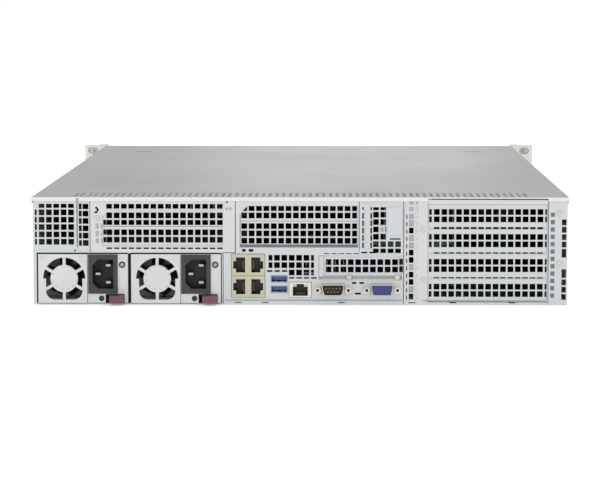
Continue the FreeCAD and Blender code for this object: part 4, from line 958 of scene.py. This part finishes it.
def bayParts(i):
    size = baySizes
    low, high = place(f"drive_carrier_{i}")
    leverLow, leverHigh = place(f"carrier_lever_{i}")
    face = high.y
    mid, middle = middleOf(low, high)
    # pitted grille, its pits as dark hexagons in painted shade, and finger ridges on the lever
    grille = Piece(f"lever_{i}_grille", "holeShade", "leverPlastic")
    cell = size["cell"]
    for row in range(size["rows"]):
        for k in range(size["columns"]):
            x = leverLow.x + 7.5 + k * cell + (row % 2) * cell / 2
            z = middle + (row - 1) * cell * 0.87
            grille.drum((x, face - 0.02, z), size["pit"], 0.1, sides=6, finish="holeShade")
    for k in range(size["ridges"]):
        x = leverHigh.x - 10.6 + k * size["ridgePitch"]
        grille.slab(x, middle, 0.6, 9.2, face - 2.4, face - 1.5, 0.2, "leverPlastic", 1)
    grille.done(f"lever_{i}")
    # release button, two lamps and three slits in painted shade on the bezel
    trim = Piece(f"carrier_{i}_button_and_lamps", "releasePlastic", "lampClear", "holeShade")
    trim.slab(leverHigh.x + 7.0, middle, *size["button"], face - 1.2, face + 0.55, 0.7, "releasePlastic", 3)
    for side in (1, -1):
        spot = (high.x - 5.4, face - 0.1, middle + side * size["lensSpread"])
        trim.drum(spot, size["lens"], 0.6, sides=20, edge=0.15, finish="lampClear")
    for k in range(3):
        trim.slab(high.x - 10.0, middle - 5.7 + k * 7.4, 1.2, 4.6, face - 0.3, face + 0.03, 0.0, "holeShade")
    trim.done(f"carrier_{i}")
    # the drive's lid and its screws
    tail = Piece(f"drive_{i}_lid_and_screws", "screwSteel", "nickelShell")
    wide, level, thick = size["lid"]
    near, far = low.y + 0.6, high.y - 40.0
    top = low.z + level + thick / 2
    tail.pad(mid, (near + far) / 2, wide, far - near, top - thick, top, 0.12, "nickelShell", 1)
    for side in (-1, 1):
        for y in (low.y + 8.0, high.y - 46.0):
            spot = (mid + side * size["screwSpread"], y, top - 0.05)
            tail.screw(spot, 1.9, 0.5, (0, 0, 1), "screwSteel", 16)
    tail.done(f"carrier_{i}")


for i in range(1, 9):
    bayParts(i)


frontSizes = {"openings": 12, "margin": 4.0, "bars": 5, "rungs": 2, "bar": 1.0, "lamps": 4, "lampPitch": 5.4,
              "firstLamp": 9.0, "screwInset": 8.75, "screwEnd": 6.35, "stem": 1.9, "knob": 5.6, "flutes": 12}


def frontMesh():
    # bars and rungs across the front panel's openings
    size = frontSizes
    low, high = place("front_panel")
    made = Piece("front_mesh", "zincSheet")
    margin = size["margin"]
    pitch = (high.x - low.x - margin) / size["openings"]
    bottom, top = low.z + margin, high.z - margin
    tall = top - bottom
    for k in range(size["openings"]):
        left = low.x + margin + k * pitch
        for j in range(size["bars"]):
            x = left + (j + 1) * (pitch - margin) / (size["bars"] + 1)
            made.slab(x, bottom + tall / 2, size["bar"], tall + 0.8, high.y - 0.9, high.y - 0.1, 0.15,
                      "zincSheet", 1)
        for j in range(size["rungs"]):
            x, z = left + (pitch - margin) / 2, bottom + (j + 1) * tall / (size["rungs"] + 1)
            wide = pitch - margin + 0.8
            made.slab(x, z, wide, size["bar"], high.y - 0.8, high.y - 0.2, 0.15, "zincSheet", 1)
    made.done("chassis")


def earParts():
    # lamps on the ear, and captive screws with fluted knobs
    size = frontSizes
    earLow, earHigh = place("rack_ears")
    face = place("front_panel")[1].y
    lamps = Piece("ear_lamps_and_captive_screws", "lampClear", "screwSteel", "pinMetal")
    powerLow, powerHigh = place("power_button")
    x = middleOf(powerLow, powerHigh)[0]
    for k in range(size["lamps"]):
        spot = (x, earHigh.y - 0.05, powerLow.z - size["firstLamp"] - k * size["lampPitch"])
        lamps.drum(spot, 1.2, 0.4, sides=20, edge=0.12, finish="lampClear")
    for side in (-1, 1):
        hole = side * (earHigh.x - size["screwInset"])
        for z in (earLow.z + size["screwEnd"], earHigh.z - size["screwEnd"]):
            lamps.drum((hole, face - 1.0, z), size["stem"], 5.0, sides=24, edge=0.4, finish="pinMetal")
            lamps.drum((hole, face + 3.6, z), size["knob"], 7.0, sides=36, edge=0.6, finish="screwSteel")
            for j in range(size["flutes"]):
                turn = 2 * pi * j / size["flutes"]
                u, v = (size["knob"] - 0.3) * cos(turn), (size["knob"] - 0.3) * sin(turn)
                lamps.slab(hole + u, z + v, 0.8, 0.8, face + 0.9, face + 6.4, 0.15, "screwSteel", 1)
    lamps.done("chassis")


frontMesh()
earParts()
print("bays and front fitted")


# Main board, in millimetres: chips and headers as x, y, width, depth and, for chips, height
boardSizes = {
    "chips": ((20, -292, 17, 17, 1.4), (60, -292, 12, 12, 1.2), (-24, -262, 25, 25, 1.8),
              (62, -262, 9, 11, 1.1), (-44, -240, 9, 9, 1.1), (50, -230, 14, 20, 1.2), (84, -250, 8, 8, 1.0),
              (-10, -110, 12, 12, 1.2), (64, -120, 10, 14, 1.1), (78, -180, 8, 6, 1.0),
              (-40, -170, 7, 7, 1.0), (130, -60, 9, 9, 1.1), (186, -60, 9, 9, 1.1), (150, -150, 12, 8, 1.0),
              (180, -210, 10, 10, 1.2), (128, -260, 10, 8, 1.0)),
    "legPitch": 1.6, "foot": 0.05,
    "sink": (20.0, -190.0), "fins": 12, "finPitch": 3.6,
    "chokes": 14, "firstChoke": -40.0, "chokePitch": 17.6, "chokeRow": -36.5, "canRow": -24.6,
    "cans": ((-30, -300), (-12, -300), (44, -206), (44, -176), (-34, -140), (8, -140), (80, -140), (30, -110),
             (84, -90), (-40, -100)),
    "plugs": 8, "plugStart": (52.0, -90.0), "plugPitch": (16.0, 9.0),
    "headers": ((-46, -66, 10, 52), (-30, -80, 9, 18), (12, -76, 10, 22)), "holePitch": 4.3,
    "cell": (-20, -220), "fanPlugs": 6, "firstFanPlug": -20.0, "fanPlugPitch": 22.0, "fanPlugRow": 120.8,
    "crumbs": 150, "crumbStart": (-46.0, -318.0), "crumbField": (139, 271),
}


def boardChips(top):
    size = boardSizes
    made = Piece("board_chips", "chipBlack", "nickelShell")
    pitch = size["legPitch"]
    for x, y, wide, deep, tall in size["chips"]:
        made.pad(x, y, wide, deep, top - size["foot"], top + tall, 0.25, "chipBlack")
        for k in range(int(wide / pitch)):
            for side in (-1, 1):
                leg = x - wide / 2 + 0.9 + k * pitch
                made.pad(leg, y + side * (deep / 2 + 0.5), 0.6, 1.2, top - 0.03, top + 0.2, 0.0,
                         "nickelShell")
    made.done("chassis")


def boardSink(top):
    size = boardSizes
    made = Piece("board_control_heatsink", "finAluminium", "socketBlack")
    x, y = size["sink"]
    made.pad(x, y, 42.0, 42.0, top + 2.4, top + 5.4, 0.4, "finAluminium")
    for k in range(size["fins"]):
        fin = x - 20.0 + k * size["finPitch"]
        made.pad(fin, y, 1.2, 41.0, top + 5.2, top + 15.4, 0.25, "finAluminium")
    made.pad(x, y, 30.0, 30.0, top - size["foot"], top + 2.5, 0.3, "socketBlack", 1)
    for side in (-1, 1):
        made.drum((x + side * 24.5, y - side * 24.5, top + 3.6), 2.4, 7.3, "Z", 20, 0.4, "socketBlack", 1.9)
    made.done("chassis")


def boardPower(top):
    size = boardSizes
    made = Piece("board_chokes_and_capacitors", "chipBlack", "pinMetal", "socketBlack", "copperWire")

    def can(x, y, radius, sides, edge):
        made.drum((x, y, top + 3.9), radius, 7.9, "Z", sides, edge, "socketBlack")
        made.drum((x, y, top + 7.9), radius - 0.5, 0.3, "Z", sides, 0.1, "pinMetal")

    for k in range(size["chokes"]):
        x, y = size["firstChoke"] + k * size["chokePitch"], size["chokeRow"]
        made.pad(x, y, 9.2, 9.0, top - size["foot"], top + 6.4, 0.9, "chipBlack", 3)
        made.pad(x, y, 10.2, 5.8, top - 0.03, top + 1.1, 0.2, "copperWire", 1)
        can(x, size["canRow"], 3.8, 28, 0.5)
    for x, y in size["cans"]:
        can(x, y, 3.1, 24, 0.4)
    made.done("chassis")


def boardHeaders(top):
    size = boardSizes
    made = Piece("board_headers", "socketBlack", "bluePlastic", "headerWhite", "goldContact", "nickelShell")
    foot = top - size["foot"]
    startX, startY = size["plugStart"]
    across, along = size["plugPitch"]
    for k in range(size["plugs"]):
        x, y = startX + (k % 2) * across, startY + (k // 2) * along
        made.pad(x, y, 13.0, 5.2, foot, top + 8.6, 0.5,
                 "bluePlastic" if k < size["plugs"] / 2 else "socketBlack")
        made.pad(x, y, 10.4, 1.0, top + 8.3, top + 8.75, 0.1, "goldContact", 1)
    pitch = size["holePitch"]
    for x, y, wide, deep in size["headers"]:
        made.pad(x, y, wide, deep, foot, top + 11.0, 0.7, "headerWhite")
        # the header's holes as black pads: painted shade
        for j in range(int(deep / pitch)):
            for side in (-1, 1):
                hole = y - deep / 2 + 2.4 + j * pitch
                made.pad(x + side * 2.2, hole, 3.0, 3.0, top + 10.6, top + 11.06, 0.3, "socketBlack", 1)
    x, y = size["cell"]
    made.drum((x, y, top + 1.9), 10.6, 3.8, "Z", 48, 0.6, "socketBlack")
    made.drum((x, y, top + 3.9), 9.9, 0.6, "Z", 48, 0.25, "nickelShell")
    for k in range(size["fanPlugs"]):
        x = size["firstFanPlug"] + k * size["fanPlugPitch"]
        made.pad(x, size["fanPlugRow"], 10.4, 5.6, foot, top + 8.0, 0.4, "headerWhite")
    made.done("chassis")


def boardCrumbs(top):
    # the smallest parts, spread by remainders so that no two share a place
    size = boardSizes
    made = Piece("board_small_parts", "chipBlack", "nickelShell", "copperWire")
    startX, startY = size["crumbStart"]
    fieldX, fieldY = size["crumbField"]
    for k in range(size["crumbs"]):
        x, y = startX + (k * 37 % fieldX), startY + (k * 53 % fieldY)
        wide, deep = (3.2, 1.8) if k % 2 else (1.8, 3.2)
        tall = 0.7 if k % 3 else 1.1
        made.pad(x, y, wide, deep, top - 0.03, top + tall, 0.0,
                 ("copperWire", "chipBlack", "nickelShell")[k % 3])
    made.done("chassis")


coolingSizes = {"rings": (12.0, 20.0, 28.0, 35.0), "wire": 0.7, "spokes": (45, 135), "reach": 74.0,
                "plugs": 4, "plug": (18.0, 25.0, 6.0), "side": (20.0, 16.0, 8.0), "pins": 6, "pinPitch": 3.2}


def fanGuards():
    # wire guards before the fans
    size = coolingSizes
    made = Piece("fan_guard_rings", "pinMetal")
    housing = place("fan_housings")[1].y
    wire = size["wire"]
    for i in (1, 2, 3):
        x, z = middleOf(*place(f"fan_rotor_{i}"))
        for radius in size["rings"]:
            made.ring((x, housing + 0.1, z), radius + wire, radius - wire, 1.2, 40)
        for turn in size["spokes"]:
            made.block((x - size["reach"] / 2, housing + 0.2, z - 0.6),
                       (x + size["reach"] / 2, housing + 1.2, z + 0.6),
                       0.2, None, 1, about((x, housing, z), radians(turn), "Y"))
    made.done("chassis")


def backplanePlugs():
    size = coolingSizes
    made = Piece("backplane_parts", "socketBlack", "pinMetal", "headerWhite")
    low, high = place("backplane")
    face = low.y
    for k in range(size["plugs"]):
        x = low.x + (high.x - low.x) * (k + 0.5) / size["plugs"]
        wide, up, tall = size["plug"]
        made.slab(x, low.z + up, wide, tall, face - 7.0, face + 0.1, 0.4, "socketBlack")
        across, up, wide = size["side"]
        made.slab(x + across, low.z + up, wide, wide, face - 6.0, face + 0.1, 0.4, "headerWhite")
        for j in range(size["pins"]):
            pin = x - 33.3 + j * size["pinPitch"]
            made.slab(pin, low.z + 41.3, 1.4, 2.6, face - 1.1, face + 0.05, 0.1, "pinMetal", 1)
    made.done("chassis")


for fit in (boardChips, boardSink, boardPower, boardHeaders, boardCrumbs):
    fit(place("motherboard")[1].z)
fanGuards()
backplanePlugs()
print("inside fitted")


# Room, light and camera, in metres and degrees
stageSizes = {"paper": 30.0, "room": 1.03, "lens": 156.55, "eye": (0.0273, -2.4635, 0.2554), "down": 5.636,
              "aside": 0.741}


def setStage():
    size = stageSizes
    bench = Finish("benchPaper")
    cloud = bench.noise(1.4, 3.0)
    fibre = bench.noise(900.0, 2.0)
    paper = bench.close({"Base Color": bench.blend(cloud, (0.975, 0.975, 0.975), (0.965, 0.965, 0.965)),
                         "Roughness": 0.8 + fibre * 0.1, "Normal": bench.bump(fibre, 0.00002),
                         "Emission Color": (1.0, 1.0, 1.0), "Emission Strength": 0.3})
    sheet = bmesh.new()
    bmesh.ops.create_grid(sheet, x_segments=2, y_segments=2, size=size["paper"])
    data = bpy.data.meshes.new("bench")
    sheet.to_mesh(data)
    sheet.free()
    data.materials.append(paper)
    made = bpy.data.objects.new("bench", data)
    bpy.context.scene.collection.objects.link(made)
    room = bpy.data.worlds.new("softRoom")
    room.use_nodes = True
    glow = room.node_tree.nodes["Background"]
    glow.inputs["Color"].default_value = (1.0, 1.0, 1.0, 1)
    glow.inputs["Strength"].default_value = size["room"]
    bpy.context.scene.world = room
    for name, spot, aim, width, power in (
            ("rearSoftLight", (-0.5, -2.4, 1.3), (0, -0.35, 0.04), 1.4, 4.0),
            ("sheenLight", (0.05, 2.4, 0.5), (0, 0, 0.09), 0.5, 1.1)):
        lamp = bpy.data.lights.new(name, "AREA")
        lamp.size, lamp.energy = width, power
        made = bpy.data.objects.new(name, lamp)
        made.location = spot
        made.rotation_euler = (Vector(spot) - Vector(aim)).to_track_quat("Z", "Y").to_euler()
        bpy.context.scene.collection.objects.link(made)
    eye = bpy.data.cameras.new("viewCamera")
    eye.lens = size["lens"]
    made = bpy.data.objects.new("viewCamera", eye)
    made.location = size["eye"]
    made.rotation_euler = (radians(90 - size["down"]), 0, radians(size["aside"]))
    bpy.context.scene.collection.objects.link(made)
    bpy.context.scene.camera = made
    bpy.context.scene.view_settings.view_transform = "Standard"


setStage()
